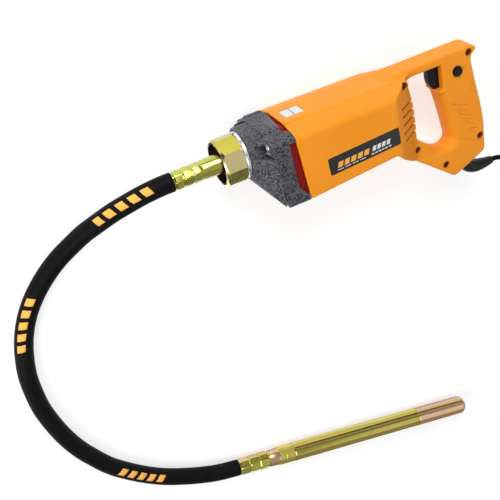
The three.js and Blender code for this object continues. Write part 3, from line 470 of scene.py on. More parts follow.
# Dark screw steel tinted reddish-brown: painted shade of the orange counterbore round each housing screw.
SCREW_STEEL_AND_SHADE = steel("screw_steel_and_shade", (0.16, 0.045, 0.025), 0.5)
COPPER = steel("enamelled_copper", (0.55, 0.24, 0.1), 0.35)
BRASS = steel("brass", (0.66, 0.5, 0.22), 0.3)
LAMINATE = steel("laminations", (0.16, 0.155, 0.15), 0.5)
CARBON = plain("carbon", (0.02, 0.02, 0.02), 0.7)
LABEL = plain("label_black", (0.008, 0.008, 0.009), 0.42)
BADGE = plain("label_grey", (0.46, 0.49, 0.47), 0.4)
BADGE_PALE = plain("label_pale", (0.60, 0.63, 0.62), 0.35)
BADGE_LINE = plain("label_line", (0.20, 0.06, 0.04), 0.5)
PRINT_ORANGE = plain("print_orange", (0.80, 0.36, 0.05), 0.5)
PRINT_WHITE = plain("print_white", (0.62, 0.63, 0.64), 0.5)
PRINT_YELLOW = plain("print_yellow", (0.86, 0.42, 0.06), 0.55)

# ---- cords ----
HOSE_R = 0.015
HOSE_LENGTH = 0.94
HOSE_ROUTE = [
    (0.2596, -0.030, 0.066), (0.278, -0.030, 0.066), (0.305, -0.027, 0.0645), (0.330, -0.021, 0.0605),
    (0.355, -0.012, 0.053), (0.378, 0.001, 0.0415), (0.402, 0.016, 0.0285), (0.425, 0.032, 0.0195),
    (0.449, 0.047, 0.0158), (0.471, 0.063, 0.0153), (0.492, 0.082, 0.0153), (0.511, 0.104, 0.0153),
    (0.527, 0.129, 0.0153), (0.540, 0.158, 0.0153), (0.549, 0.189, 0.0153), (0.555, 0.223, 0.0153),
    (0.556, 0.258, 0.0153), (0.554, 0.293, 0.0153), (0.547, 0.329, 0.0153), (0.537, 0.365, 0.0153),
    (0.523, 0.400, 0.0153), (0.505, 0.433, 0.0153), (0.485, 0.464, 0.0153), (0.460, 0.492, 0.0153),
    (0.434, 0.517, 0.0153), (0.405, 0.540, 0.0153), (0.374, 0.559, 0.0155), (0.342, 0.575, 0.0162),
    (0.309, 0.588, 0.0173), (0.2705, 0.598, 0.018),
]
CORD_R = 0.00425
CORD_ROUTE = [
    (-0.2978, 0.156, 0.066), (-0.307, 0.1564, 0.066), (-0.322, 0.162, 0.063), (-0.335, 0.166, 0.055),
    (-0.345, 0.170, 0.043), (-0.355, 0.174, 0.030), (-0.367, 0.179, 0.0175), (-0.380, 0.184, 0.0085),
    (-0.393, 0.1885, 0.005), (-0.406, 0.191, 0.0046),
]
COIL_CENTRE = (-0.440, 0.244)
COIL_LOW = 0.0046
COIL_HIGH = 0.0131
COIL_TURNS = (0.0525, 0.044, 0.0355)
TAIL_END = 0.0648


def smooth_path(points, spacing):
    """Points along a Catmull-Rom curve through the given ones, about spacing apart."""
    points = [Vector(p) for p in points]
    points = [2 * points[0] - points[1]] + points + [2 * points[-1] - points[-2]]
    made = []
    for a, b, c, d in zip(points, points[1:], points[2:], points[3:]):
        steps = max(1, round((c - b).length / spacing))
        for i in range(steps):
            t = i / steps
            bend = 2 * a - 5 * b + 4 * c - d
            twist = 3 * b - a - 3 * c + d
            made.append(0.5 * (2 * b + (c - a) * t + bend * t**2 + twist * t**3))
    made.append(points[-2])
    return made


def coil_route():
    """Three turns inwards on the floor, a step up, and three turns outwards on top of them."""
    made = []
    steps = 24
    x, y = COIL_CENTRE
    for layer, (radii, z) in enumerate(((COIL_TURNS, COIL_LOW), (COIL_TURNS[::-1], COIL_HIGH))):
        for turn, radius in enumerate(radii):
            last = turn == len(radii) - 1
            for i in range(steps):
                share = i / steps
                following = radius if last else radii[turn + 1]
                ease = max(0.0, (share - 0.7) / 0.3)
                r = radius + (following - radius) * ease
                height = z + (COIL_HIGH - COIL_LOW) * ease if last and layer == 0 else z
                angle = -math.pi / 2 - 2 * math.pi * share
                if layer == 1 and last and share > 0.25:
                    break
                made.append((x + r * math.cos(angle), y + r * math.sin(angle), height))
    return made


def skin(mesh, rings):
    """Faces that join rings of points into a closed tube."""
    count = len(rings[0])
    for low, high in zip(rings, rings[1:]):
        for k in range(count):
            j = (k + 1) % count
            mesh.faces.new((low[k], low[j], high[j], high[k]))
    mesh.faces.new(rings[0][::-1])
    mesh.faces.new(rings[-1])


def tube(name, path, radius, sides, material):
    """A round tube along a path, closed at both ends. The radius is one value, or one for each point."""
    mesh = bmesh.new()
    rings = []
    radii = radius if isinstance(radius, list) else [radius] * len(path)
    normal = Vector((0, 0, 1))
    for i, point in enumerate(path):
        ahead = path[min(i + 1, len(path) - 1)] - path[max(i - 1, 0)]
        ahead.normalize()
        side = ahead.cross(normal).normalized()
        normal = side.cross(ahead).normalized()
        ring = []
        for k in range(sides):
            angle = 2 * math.pi * k / sides
            spoke = math.cos(angle) * side + math.sin(angle) * normal
            ring.append(mesh.verts.new(point + radii[i] * spoke))
        rings.append(ring)
    skin(mesh, rings)
    bmesh.ops.recalc_face_normals(mesh, faces=mesh.faces)
    return piece(name, mesh, material)


def piece(name, mesh, material, angle=35):
    """A shown object from a bmesh in the row frame, smooth except at edges sharper than angle."""
    data = bpy.data.meshes.new(name)
    mesh.to_mesh(data)
    mesh.free()
    data.materials.append(material)
    made = bpy.data.objects.new(name, data)
    bpy.context.collection.objects.link(made)
    smooth(made, angle)
    return made


def smooth(made, angle=35):
    made.data.shade_smooth()
    made.data.set_sharp_from_angle(angle=math.radians(angle))


def settle(made, body, slot, *nodes):
    """The piece rides on a body, takes its finish from a slot and stands for these CAD nodes."""
    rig.ride(made, body)
    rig.slot(made, slot)
    if nodes:
        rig.replaces(made, *nodes)
    return made


hose_path = smooth_path(HOSE_ROUTE, 0.006)
hose = settle(tube("hose", hose_path, HOSE_R, 40, RUBBER), "machine", "black_rubber", "flexible_hose")
cord_path = smooth_path(CORD_ROUTE, 0.004)[:-1] + smooth_path(coil_route(), 0.006)
cord_end = cord_path[-1]
tail_top = Vector((COIL_CENTRE[0] - COIL_TURNS[0], COIL_CENTRE[1] + TAIL_END, COIL_HIGH))
cord_path += [cord_end.lerp(tail_top, share) for share in (0.1, 0.35, 0.6, 0.85, 1.0)]
cord = tube("power_lead", cord_path, CORD_R, 16, RUBBER)
settle(cord, "machine", "black_rubber", "power_cord", "power_cord_coil", "power_cord_tail")


def run_length(path):
    return sum((b - a).length for a, b in zip(path, path[1:]))


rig.cord(hose, exit=HOSE_ROUTE[0], length=HOSE_LENGTH, diameter=2 * HOSE_R, far_end="object",
        stiffness="stiff", lay="loose", path=[tuple(p) for p in hose_path])

# ---- solids, in the machine's millimetres ----
def outline(start, *steps, segments=8):
    """Corner points of a path of (x, y) lines and (cx, cy, x, y) quadratic bends."""
    points = [Vector(start)]
    for step in steps:
        if len(step) == 2:
            points.append(Vector(step))
            continue
        begin, control, end = points[-1], Vector(step[:2]), Vector(step[2:])
        for i in range(1, segments + 1):
            t = i / segments
            points.append(begin * (1 - t) ** 2 + control * 2 * t * (1 - t) + end * t**2)
    return points


def working(mesh):
    """A working object from a bmesh."""
    data = bpy.data.meshes.new("working")
    mesh.to_mesh(data)
    mesh.free()
    made = bpy.data.objects.new("working", data)
    bpy.context.collection.objects.link(made)
    return made


def solid(mesh):
    """A working object whose faces all look outwards."""
    bmesh.ops.recalc_face_normals(mesh, faces=mesh.faces)
    return working(mesh)


def prism(points, axis, low, high):
    """A closed solid: an outline run along X, Y or Z. Outlines are (Y, Z), (X, Z) or (X, Y)."""
    orders = {"x": lambda a, b, c: (c, a, b), "y": lambda a, b, c: (a, c, b), "z": lambda a, b, c: (a, b, c)}
    order = orders[axis]
    mesh = bmesh.new()
    ends = [[mesh.verts.new(order(p[0], p[1], level)) for p in points] for level in (low, high)]
    skin(mesh, ends)
    bmesh.ops.triangulate(mesh, faces=[f for f in mesh.faces if len(f.verts) > 4])
    return solid(mesh)


def box(x, y, z):
    """A block from its lowest and highest X, Y and Z."""
    return prism([(x[0], y[0]), (x[1], y[0]), (x[1], y[1]), (x[0], y[1])], "z", *z)


def round_bar(axis, centre, radius, low, high, sides=32):
    """A prism with a round outline along X, Y or Z."""
    turns = [2 * math.pi * i / sides for i in range(sides)]
    points = [(centre[0] + radius * math.cos(a), centre[1] + radius * math.sin(a)) for a in turns]
    return prism(points, axis, low, high)


def lathe(profile, sides=96, centre=(0, 0), ripple=None):
    """A closed list of (x, radius) turned about X. ripple(x, radius, angle) may change the radius."""
    mesh = bmesh.new()
    rings = []
    for x, r in profile:
        if r < 1e-6:
            rings.append([mesh.verts.new((x, *centre))] * sides)
            continue
        ring = []
        for k in range(sides):
            angle = 2 * math.pi * k / sides
            reach = ripple(x, r, angle) if ripple else r
            y = centre[0] + reach * math.cos(angle)
            z = centre[1] + reach * math.sin(angle)
            ring.append(mesh.verts.new((x, y, z)))
        rings.append(ring)
    for low, high in zip(rings, rings[1:] + rings[:1]):
        for k in range(sides):
            j = (k + 1) % sides
            corners = list(dict.fromkeys((low[k], low[j], high[j], high[k])))
            if len(corners) > 2:
                mesh.faces.new(corners)
    return solid(mesh)


def wire(points, radius, sides=6):
    """A closed thin bar along points, used to cut grooves."""
    mesh = bmesh.new()
    path = [Vector(p) for p in points]
    rings = []
    for i, point in enumerate(path):
        before = (point - path[i - 1]).normalized() if i else None
        after = (path[i + 1] - point).normalized() if i < len(path) - 1 else None
        ahead = ((before or after) + (after or before)).normalized()
        spread = 1 / max(0.5, ahead.dot(after or before))
        side = ahead.cross(Vector((0, 1, 0)))
        if side.length < 0.1:
            side = ahead.cross(Vector((0, 0, 1)))
        side.normalize()
        top = side.cross(ahead).normalized()
        turns = [2 * math.pi * k / sides for k in range(sides)]
        rings.append([
            mesh.verts.new(point + radius * (spread * math.cos(a) * side + math.sin(a) * top)) for a in turns
        ])
    skin(mesh, rings)
    return solid(mesh)


def modified(made, kind, **settings):
    """Applies one modifier to a working object."""
    modifier = made.modifiers.new(kind, kind)
    for key, value in settings.items():
        setattr(modifier, key, value)
    graph = bpy.context.evaluated_depsgraph_get()
    data = bpy.data.meshes.new_from_object(made.evaluated_get(graph), depsgraph=graph)
    made.modifiers.clear()
    old, made.data = made.data, data
    bpy.data.meshes.remove(old)
    return made


def combine(target, tools, operation):
    """Joins tools to a working solid, or cuts it with them, and uses them up."""
    for tool in tools:
        modified(target, "BOOLEAN", object=tool, operation=operation, solver="MANIFOLD")
        bpy.data.objects.remove(tool)
    return target


def merged(objects):
    """One working object that holds the meshes of several."""
    mesh = bmesh.new()
    for made in objects:
        mesh.from_mesh(made.data)
        bpy.data.objects.remove(made)
    return working(mesh)


def softened(made, voxel, rounds, share):
    """The solid with its edges rounded: a fine even skin, smoothed, then thinned out."""
    modified(made, "REMESH", mode="VOXEL", voxel_size=voxel)
    modified(made, "SMOOTH", factor=0.5, iterations=rounds)
    return modified(made, "DECIMATE", ratio=share)


def rounded_plate(points, holes, half, edge):
    """A plate along Y with an (X, Z) outline, holes, and edges rounded to a radius."""
    curve = bpy.data.curves.new("working", "CURVE")
    curve.dimensions = "2D"
    curve.fill_mode = "BOTH"
    curve.extrude = half - edge
    curve.bevel_depth = edge
    curve.bevel_resolution = 3
    curve.offset = -edge
    for loop in [points, *holes]:
        spline = curve.splines.new("POLY")
        spline.points.add(len(loop) - 1)
        for point, p in zip(spline.points, loop):
            point.co = (p[0], p[1], 0, 1)
        spline.use_cyclic_u = True
    holder = bpy.data.objects.new("working", curve)
    bpy.context.collection.objects.link(holder)
    graph = bpy.context.evaluated_depsgraph_get()
    data = bpy.data.meshes.new_from_object(holder.evaluated_get(graph), depsgraph=graph)
    bpy.data.objects.remove(holder)
    mesh = bmesh.new()
    mesh.from_mesh(data)
    bmesh.ops.remove_doubles(mesh, verts=mesh.verts, dist=0.01)
    bmesh.ops.transform(mesh, matrix=Matrix.Rotation(math.pi / 2, 4, "X"), verts=mesh.verts)
    return solid(mesh)


def shown(name, made, frame_matrix, material, angle=35):
    """Turns a working solid into a shown piece, in the row frame."""
    made.name = name
    made.data.name = name
    made.data.transform(frame_matrix)
    made.data.materials.clear()
    made.data.materials.append(material)
    smooth(made, angle)
    return made


def weighted(made):
    """Flat faces keep flat shading beside rounded edges."""
    modifier = made.modifiers.new("weighted", "WEIGHTED_NORMAL")
    modifier.keep_sharp = True
    modifier.weight = 100
    return made


# ---- housing ----
HALF_WIDTH = 66
TOP = 38
ROOF_FALL = 0.011  # slope of the roof towards the handle
HANDLE_HALF = 21
HANDLE_EDGE = 3.4
GRIP_EDGE = 15  # the grip is well rounded where the fingers go
BODY_REAR = -172
WAIST_REAR = -222
WALL = 3.2
SEAM = 0.12  # half the gap between the two halves
VENT_COUNT = 5
VENT_PITCH = 13.6
VENT_TOP = -1.5
VENT_HEIGHT = 4.2
VENT_TILT = 0.22  # fall per length of the first slot
VENT_TILT_STEP = 0.012  # each slot below falls a little less
SCREWS = [(-335.5, 32), (-204.5, 25), (-223.5, -99.5), (-275, -147), (-345, -119)]  # (X, Z)
BOSS_SCREW = SCREWS[1]  # stands on a boss at the top of the slope
BOSS_TOP = 36
BOSS_R = 8.6
COUNTERBORE_R = 6.4
COUNTERBORE_Y = 12.8
LOCK = (-311.5, 8)
LABEL_PLACE = Matrix.Translation((-107.5, 0, -38)) @ Matrix.Rotation(0.05, 4, "Y")


def underside(x):
    """Z of the body's underside at X."""
    return -80 - 0.07 * x


def side_outline():
    """The whole housing from the side, as (X, Z)."""
    return outline(
        (-7.8, -80), (0, 20), (0, TOP), (-180, TOP - 2), (-204, 40.8), (-338, 41.8), (-347, 41.8, -350.5, 35),
        (-350, 31, -342.5, 26.5), (-340, 23, -339.5, 18), (-343, -12, -348.5, -44), (-355, -82, -354.5, -106),
        (-353, -143), (-352.5, -149, -346, -152), (-300, -172), (-290, -177, -283, -169.5), (-191, -95),
        (-180, -86, -163, underside(-163)),
    )


def grip_outline():
    """The opening for the hand, with the trigger's notch at its top rear corner."""
    return outline(
        (-215, 27), (-223.5, 2, -226, -26), (-227, -55, -225, -76), (-226, -84, -232, -89), (-260, -111),
        (-274, -120, -285, -116), (-294, -112, -291.5, -101), (-286, -60, -276, -18), (-273.5, -15),
        (-284, -15), (-284, 27),
    )


def body_section(inset=0.0):
    """The body across, as (Y, Z): flat sides, round shoulders and a raised flat roof."""
    top, side = TOP - inset, HALF_WIDTH - inset
    half = outline(
        (side, -110), (side, 19), (side - 0.4, 27.5 - inset, 57.5 - inset * 0.6, 29.8 - inset),
        (32.2 - inset * 0.3, top - 1.9), (30 - inset * 0.3, top), segments=8,
    )
    return half + [Vector((-p.x, p.y)) for p in reversed(half)]


def housing_section(inset, low, high):
    """The body's section run along X, its roof falling towards the handle."""
    made = prism(body_section(inset), "x", low, high)
    made.data.transform(Matrix(((1, 0, 0, 0), (0, 1, 0, 0), (ROOF_FALL, 0, 1, 0), (0, 0, 0, 1))))
    return made


def plan_outline(inset=0.0):
    """The housing from above, as (X, Y): a wide body, sloping rear corners and a thin handle."""
    side, thin = HALF_WIDTH - inset, HANDLE_HALF - inset
    half = outline(
        (8, side), (BODY_REAR + 5, side), (BODY_REAR, side, BODY_REAR - 4, side - 3.6),
        (WAIST_REAR + 6, thin + 5.4), (WAIST_REAR, thin, WAIST_REAR - 8, thin), (-372, thin), segments=5,
    )
    return half + [Vector((p.x, -p.y)) for p in reversed(half)]


def motor_bay():
    """The hollow inside the body."""
    profile = [
        (9, underside(9) + WALL), (9, TOP - WALL), (-180, TOP - 2 - WALL), (-205, 30), (-212, 20), (-218, -2),
        (-221, -30), (-220, -80), (-196, -91), (-166, underside(-166) + WALL),
    ]
    bay = prism(profile, "y", -HALF_WIDTH + WALL, HALF_WIDTH - WALL)
    tools = [housing_section(WALL, -224, 10), prism(plan_outline(WALL), "z", -190, 60)]
    return combine(bay, tools, "INTERSECT")


def vent_slots():
    """Five slots down each rear slope, which also notch the front wall of the grip opening."""
    slots = []
    front, rear = -186, -233
    for i in range(VENT_COUNT):
        top = VENT_TOP - VENT_PITCH * i
        end = top - (front - rear) * (VENT_TILT - VENT_TILT_STEP * i)
        ends = [(front, top), (rear, end), (rear, end - VENT_HEIGHT), (front, top - VENT_HEIGHT)]
        for low, high in ((12, HALF_WIDTH), (-HALF_WIDTH, -12)):
            slots.append(prism(ends, "y", low, high))
    return slots


def grip_grooves():
    """Fine lines moulded into both cheeks of the grip, on the rounded side faces."""
    lines = [
        [(-328.5, 12), (-328.3, 1.6), (-331.4, -14.3), (-343.5, -31)],
        [(-279, -36), (-298.7, -45.3), (-315.9, -53.4), (-326.9, -55), (-330.2, -42.8), (-334.3, -27.9),
         (-346, -44)],
        [(-328.6, -67.2), (-305.8, -57.9), (-310.4, -67.4), (-331.9, -77.5), (-336.2, -44)],
        [(-314, -75.6), (-320.5, -79.6), (-336.7, -87.1), (-340.6, -52)],
        [(-316.5, -76.8), (-322.5, -88.2), (-343.6, -97.4), (-345, -60)],
        [(-342.4, -103.7), (-326.6, -97.6), (-330.8, -106.5), (-339.5, -110.3)],
        [(-289, -96), (-302.3, -107.4), (-328.1, -120.1), (-353, -130.5)],
    ]
    return [wire([(x, side * HANDLE_HALF, z) for x, z in line], 0.95) for line in lines for side in (-1, 1)]


def roof_grooves():
    """One line along each edge of the raised roof."""
    line = [(1, 31, 37.1), (-60, 33.2, 36.4), (-130, 35.6, 35.2), (-199, 38, 34.4)]
    return [wire([(x, side * y, z) for x, y, z in line], 0.9) for side in (-1, 1)]


def build_handle():
    """The handle as a plate with rounded edges, more rounded round the grip and the lower bar."""
    front = [Vector((-100, 30)), Vector((-100, -60))]
    profile = [p for p in side_outline() if p.x < front[0].x] + front
    handle = rounded_plate(profile, [grip_outline()], HANDLE_HALF, HANDLE_EDGE)
    surround = outline((-400, -180), (-150, -180), (-150, 60), (-400, 60))
    round_grip = rounded_plate(surround, [grip_outline()], HANDLE_HALF, GRIP_EDGE)
    shavings = combine(box((-320, -246), (-40, 40), (-125, -19)), [round_grip], "DIFFERENCE")
    return combine(handle, [shavings], "DIFFERENCE")


def housing_cutters():
    """What is cut out of the softened shell, so that its edges stay crisp."""
    cutters = vent_slots()
    cutters.append(box((-291, -270), (-9.1, 9.1), (-15.3, 26.8)))  # the trigger's pocket
    cutters.append(round_bar("y", LOCK, 9.1, 17, 24))
    cutters.append(round_bar("y", BOSS_SCREW, BOSS_R + 0.1, BOSS_TOP, 62))
    cutters.append(box((-45, -11), (-15, 15), (36.7, 45)))  # the badge's pocket
    for screw in SCREWS:
        cutters.append(round_bar("y", screw, COUNTERBORE_R, COUNTERBORE_Y, 62))
    label = box((-63, 63), (65, 70), (-14.6, 14.6))
    label.data.transform(LABEL_PLACE)
    return [*cutters, label, *grip_grooves(), *roof_grooves()]


def build_housing():
    """The whole housing as one shell, before it is split at the seam."""
    body = prism(side_outline(), "y", -HALF_WIDTH, HALF_WIDTH)
    tools = [prism(plan_outline(), "z", -190, 60), housing_section(0, WAIST_REAR - 6, 1)]
    combine(body, tools, "INTERSECT")
    combine(body, [prism(grip_outline(), "y", -70, 70)], "DIFFERENCE")
    boss = round_bar("y", BOSS_SCREW, BOSS_R, -BOSS_TOP, BOSS_TOP)
    whole = softened(merged([body, build_handle(), boss]), 2.4 if QUICK else 1.2, 4, 0.5)
    combine(whole, [motor_bay()], "DIFFERENCE")
    return combine(whole, housing_cutters(), "DIFFERENCE")


housing = build_housing()
for name, reach in (("housing_left", (SEAM, 90)), ("housing_right", (-90, -SEAM))):
    half = bpy.data.objects.new("working", housing.data.copy())
    bpy.context.collection.objects.link(half)
    combine(half, [box((-400, 40), reach, (-200, 90))], "INTERSECT")
    made = shown(name + "_moulding", half, MACHINE, ORANGE, 32)
    settle(weighted(made), "machine", "orange_plastic", name)
bpy.data.objects.remove(housing)

# ---- gear case ----
BOSS_FRONT = 64.5
NOSE_BASE = [(-65, -78), (65, -78), (65, 16), (58, 27), (30, 34.5), (-30, 34.5), (-58, 27), (-65, 16)]
CASE_SCREWS = [(50, 20), (-50, 20), (36, -66), (-36, -66)]


def convex(points):
    """The convex solid round some points."""
    mesh = bmesh.new()
    for point in points:
        mesh.verts.new(point)
    made = bmesh.ops.convex_hull(mesh, input=mesh.verts)
    spare = {v for v in made["geom_unused"] + made["geom_interior"] if isinstance(v, bmesh.types.BMVert)}
    bmesh.ops.delete(mesh, geom=list(spare), context="VERTS")
    return solid(mesh)


def joint_x(z):
    """X of the leaning joint between the housing and the gear case."""
    return 0 if z > 20 else -0.078 * (20 - z)


def body_slab(inset, back, front):
    """A slice of the body's section between two planes that lean with the joint."""
    low = underside((back + front) / 2) + inset
    lean = joint_x(low)
    profile = [(lean + back, low), (lean + front, low), (front, 20), (front, 45), (back, 45), (back, 20)]
    slab = prism(profile, "y", -67, 67)
    section = prism(body_section(inset), "x", back - 12, front + 2)
    return combine(slab, [section], "INTERSECT")


def rounded_square(half, radius):
    """The boss's outline, as (Y, Z) points."""
    corners = [(half, -half), (half, half), (-half, half), (-half, -half)]
    ahead = [(0, 1), (-1, 0), (0, -1), (1, 0)]
    back = [(-1, 0), (0, -1), (1, 0), (0, 1)]
    steps = []
    for (x, y), (ax, ay), (bx, by) in zip(corners, ahead, back):
        steps.append((x + bx * radius, y + by * radius))
        steps.append((x, y, x + ax * radius, y + ay * radius))
    return outline(steps[0], *steps[1:], segments=10)[:-1]


def build_gear_case():
    """The hollow casting between the housing and the nose."""
    nose_front = rounded_square(38, 30)
    nose = convex([(34, y, z) for y, z in NOSE_BASE] + [(BOSS_FRONT, p.x, p.y) for p in nose_front])
    whole = combine(body_slab(1, 0.4, 38), [nose], "UNION")
    # A lug closes each upper corner between the two air slots.
    lug = [(50, 26), (50, 33), (57, 31.4), (64, 27.4), (66, 22), (60, 18)]
    for side in (-1, 1):
        combine(whole, [prism([(side * y, z) for y, z in lug], "x", 0.5, 27)], "UNION")
    softened(whole, 1.2 if QUICK else 0.9, 2, 0.5)
    # A pocket with a case screw in it lies between the central boss and each upper corner.
    pocket = [(23, 44), (33, 38.5), (64, 4), (40, 5)]
    for side in (-1, 1):
        combine(whole, [prism([(side * y, z) for y, z in pocket], "x", 37.2, 72)], "DIFFERENCE")
    bay_back = [(22, y * 0.86, (z + 25) * 0.84 - 25) for y, z in NOSE_BASE]
    bay_front = [(44, p.x, p.y) for p in rounded_square(24, 10)]
    tools = [
        body_slab(5, -12, 31),
        convex(bay_back + bay_front),
        round_bar("x", (0, 0), 17.3, 36, 56.3),
        round_bar("x", (0, 0), 12.5, 55, BOSS_FRONT + 1),
        prism([(-2, -40), (0.4, -34), (4.5, -9), (7.1, 10.5), (10.6, 40), (10.6, 44), (-2, 44)], "z", 20, 60),
        box((-14, 5), (-28, 28), (-100, -70)),
    ]
    slot = [(-16, 20), (11.5, 20), (8.5, -53), (-3, -70), (-16, -70)]
    tools += [prism(slot, "y", 56.5, 80), prism(slot, "y", -80, -56.5)]
    for y, z in CASE_SCREWS:
        tools.append(round_bar("x", (y, z), 6.4, 34.5, 70))
    combine(whole, tools, "DIFFERENCE")
    for y, z in CASE_SCREWS:
        post = round_bar("x", (y, z), 5.6, 8 + joint_x(z), 31.5)
        combine(whole, [combine(post, [round_bar("x", (y, z), 3, 0, 34)], "DIFFERENCE")], "UNION")
    combine(whole, [round_bar("x", screw, 3, 20, 40) for screw in CASE_SCREWS], "DIFFERENCE")
    return whole


settle(weighted(shown("gear_case_casting", build_gear_case(), MACHINE, CASTING, 30)),
       "machine", "painted_casting", "gear_case")


def turned_piece(name, profile, frame_matrix, material, body, slot, node,
                 sides=96, ripple=None, cutters=(), centre=(0, 0)):
    """A piece turned about its frame's X axis, with cuts."""
    made = lathe(profile, sides, centre, ripple)
    if cutters:
        combine(made, cutters, "DIFFERENCE")
    return settle(shown(name, made, frame_matrix, material, 28), body, slot, node)


def knurl(x, r, angle):
    """Radius change of a screw's head: fine grooves along it."""
    return r - (0.12 if 5 < r < 5.45 and int(angle * 24 / math.pi) % 2 else 0)


case_screw = [
    (-30, 0), (-30, 2.1), (-29.4, 2.5), (36.3, 2.5), (36.3, 5.1), (36.7, 5.4), (40.3, 5.4), (41, 4.7),
    (41, 0),
]
for i, screw in enumerate(CASE_SCREWS):
    socket = round_bar("x", screw, 2.6, 38.4, 43, 6)
    turned_piece(f"case_screw_{i + 1}_socket_head", case_screw, MACHINE, PLATED, "machine", "bright_steel",
                 f"case_screw_{i + 1}", 48, knurl, [socket], screw)

# ---- nose ----
collar = [
    (64.8, 12.5), (90, 12.5), (90, 26.4), (89.4, 27), (70.3, 27), (70.3, 36.4), (69.3, 37.4), (65.6, 37.4),
    (64.8, 36.8),
]
notches = []
for k in range(10):
    notch = box((67.2, 72), (31.6, 40), (-2.6, 2.6))
    notch.data.transform(Matrix.Rotation(math.radians(36 * k + 20), 4, "X"))
    notches.append(notch)
turned_piece("collar_machined", collar, MACHINE, ALUMINIUM, "machine", "bare_aluminium", "spindle_collar",
             128, None, notches)


def build_nut():
    """The union nut: an octagon with turned ends, bored through, with eased corners."""
    turns = [math.pi / 2 - 0.09 + math.pi / 4 * i for i in range(8)]
    nut = prism([(38 * math.cos(a), 38 * math.sin(a)) for a in turns], "x", 70.6, 104.6)
    envelope = [(70.6, 0), (70.6, 35.4), (73.4, 38.2), (99.6, 38.2), (104.6, 33.8), (104.6, 0)]
    combine(nut, [lathe(envelope)], "INTERSECT")
    bores = [(27.6, 69, 94), (17.6, 90, 106), (31.4, 95.5, 106)]
    combine(nut, [round_bar("x", (0, 0), radius, low, high, 96) for radius, low, high in bores], "DIFFERENCE")
    return modified(nut, "BEVEL", width=1.5, segments=3, limit_method="ANGLE", angle_limit=math.radians(24))


nut = weighted(shown("union_nut_octagon", build_nut(), MACHINE, ZINC_NUT, 35))
settle(nut, "nut", "yellow_zinc", "union_nut")
# The bore, and the faces near it that look inward, take a near-black zinc: painted shade inside the nut.
nut.data.materials.append(ZINC_BORE_SHADE)
spindle_axis = MACHINE.translation
for face in nut.data.polygons:
    out = face.center - spindle_axis
    reach = math.hypot(out.y, out.z) / MM
    inward = face.normal.y * out.y + face.normal.z * out.z < 0
    if reach < 29 or (reach < 31.8 and inward):
        face.material_index = 1


def crimps(starts, length, flats):
    """Radius change of a turned skin: pressed bands, each with flats round it."""

    def ripple(x, r, angle):
        for start in starts:
            if start <= x <= start + length and r > 12:
                step = 2 * math.pi / flats
                off = (angle + start) % step - step / 2
                return min(r, (r - 0.9) / math.cos(off))
        return r

    return ripple


def crimped_profile(starts, length, high, low):
    """The profile of those bands, as (x, radius): high on the band and low between bands."""
    points = []
    for start in starts:
        end = start + length
        middle = start + length * 0.5
        points += [(start, low), (start + 1.6, high), (middle, high + 0.2), (end - 1.6, high), (end, low)]
    return points


CRIMP_FLATS = 8
HOSE_CRIMPS = [134, 149, 164]
HOSE_CRIMP = 13.4  # length of one band
ferrule = [(90.4, 9.5), (90.4, 26), (93.7, 26), (93.7, 16.4), (97, 16.4), (98, 15.9), (118, 15.6)]
ferrule += [(130, 15.2), *crimped_profile(HOSE_CRIMPS, HOSE_CRIMP, 15.4, 13.9), (179, 13.6), (179, 9.5)]
turned_piece("hose_ferrule_crimped", ferrule, MACHINE, ZINC_FERRULE, "machine", "yellow_zinc", "hose_ferrule",
             96, crimps(HOSE_CRIMPS, HOSE_CRIMP, CRIMP_FLATS))

# ---- poker ----
POKER_CRIMPS = [2, 21, 40]
POKER_CRIMP = 18.4
sleeve = [(0, 9.5), (0, 14.8), (2, 15)]
sleeve += crimped_profile(POKER_CRIMPS, POKER_CRIMP, 16.3, 14.9) + [(61, 14.9), (61, 9.5)]
turned_piece("poker_ferrule_crimped", sleeve, POKER, ZINC_FERRULE, "machine", "yellow_zinc", "poker_ferrule",
             96, crimps(POKER_CRIMPS, POKER_CRIMP, CRIMP_FLATS))
NECK_BAND_END = 80  # the band next to the ferrule is plated like the tip
neck = [
    (61.3, 7), (61.3, 15), (62, 15.4), (79, 16.8), (80.4, 16.6), (81, 17.4), (92, 17.4), (92.6, 16.9),
    (93.8, 16.9), (94.4, 17.4), (111.4, 17.4), (112, 16.8), (112, 7),
]
poker_neck = turned_piece("poker_neck_turned", neck, POKER, ZINC_NECK, "machine", "yellow_zinc", "poker_neck")
poker_neck.data.materials.append(ZINC_TIP)
for face in poker_neck.data.polygons:
    if (POKER.inverted() @ face.center).x < NECK_BAND_END:
        face.material_index = 1
barrel = [(112.3, 14.5), (112.3, 17.2), (113.1, 18), (387.3, 18), (388, 17.4), (388, 14.5)]
turned_piece("poker_tube_polished", barrel, POKER, ZINC_POKER, "machine", "yellow_zinc", "poker_tube", 128)
rounding = [(490 + 14 * math.sin(a), 18 * math.cos(a) ** 0.8) for a in (0.2, 0.45, 0.7, 0.95, 1.15, 1.35)]
tip = [(458.3, 0), (458.3, 12), (388.3, 12), (388.3, 17.4), (389, 18), (440, 18), (490, 18)]
tip += rounding + [(504, 0)]
turned_piece("poker_tip_rounded", tip, POKER, ZINC_TIP, "machine", "yellow_zinc", "poker_tip", 128)

# ---- handle fittings ----
press = outline((-266.5, 26), (-266.5, 4), (-267, -4, -270, -9), (-273, -13, -278, -13.5), (-284.6, -13.5),
                (-284.6, 26))
trigger = shown("trigger_moulding", rounded_plate(press, [], 8.5, 3), MACHINE, BLACK, 40)
settle(trigger, "trigger", "black_plastic", "trigger")


def across(x, z):
    """The frame of a turned piece that stands along Y at an (X, Z) place."""
    return MACHINE @ Matrix.Translation((x, 0, z)) @ Matrix.Rotation(math.pi / 2, 4, "Z")


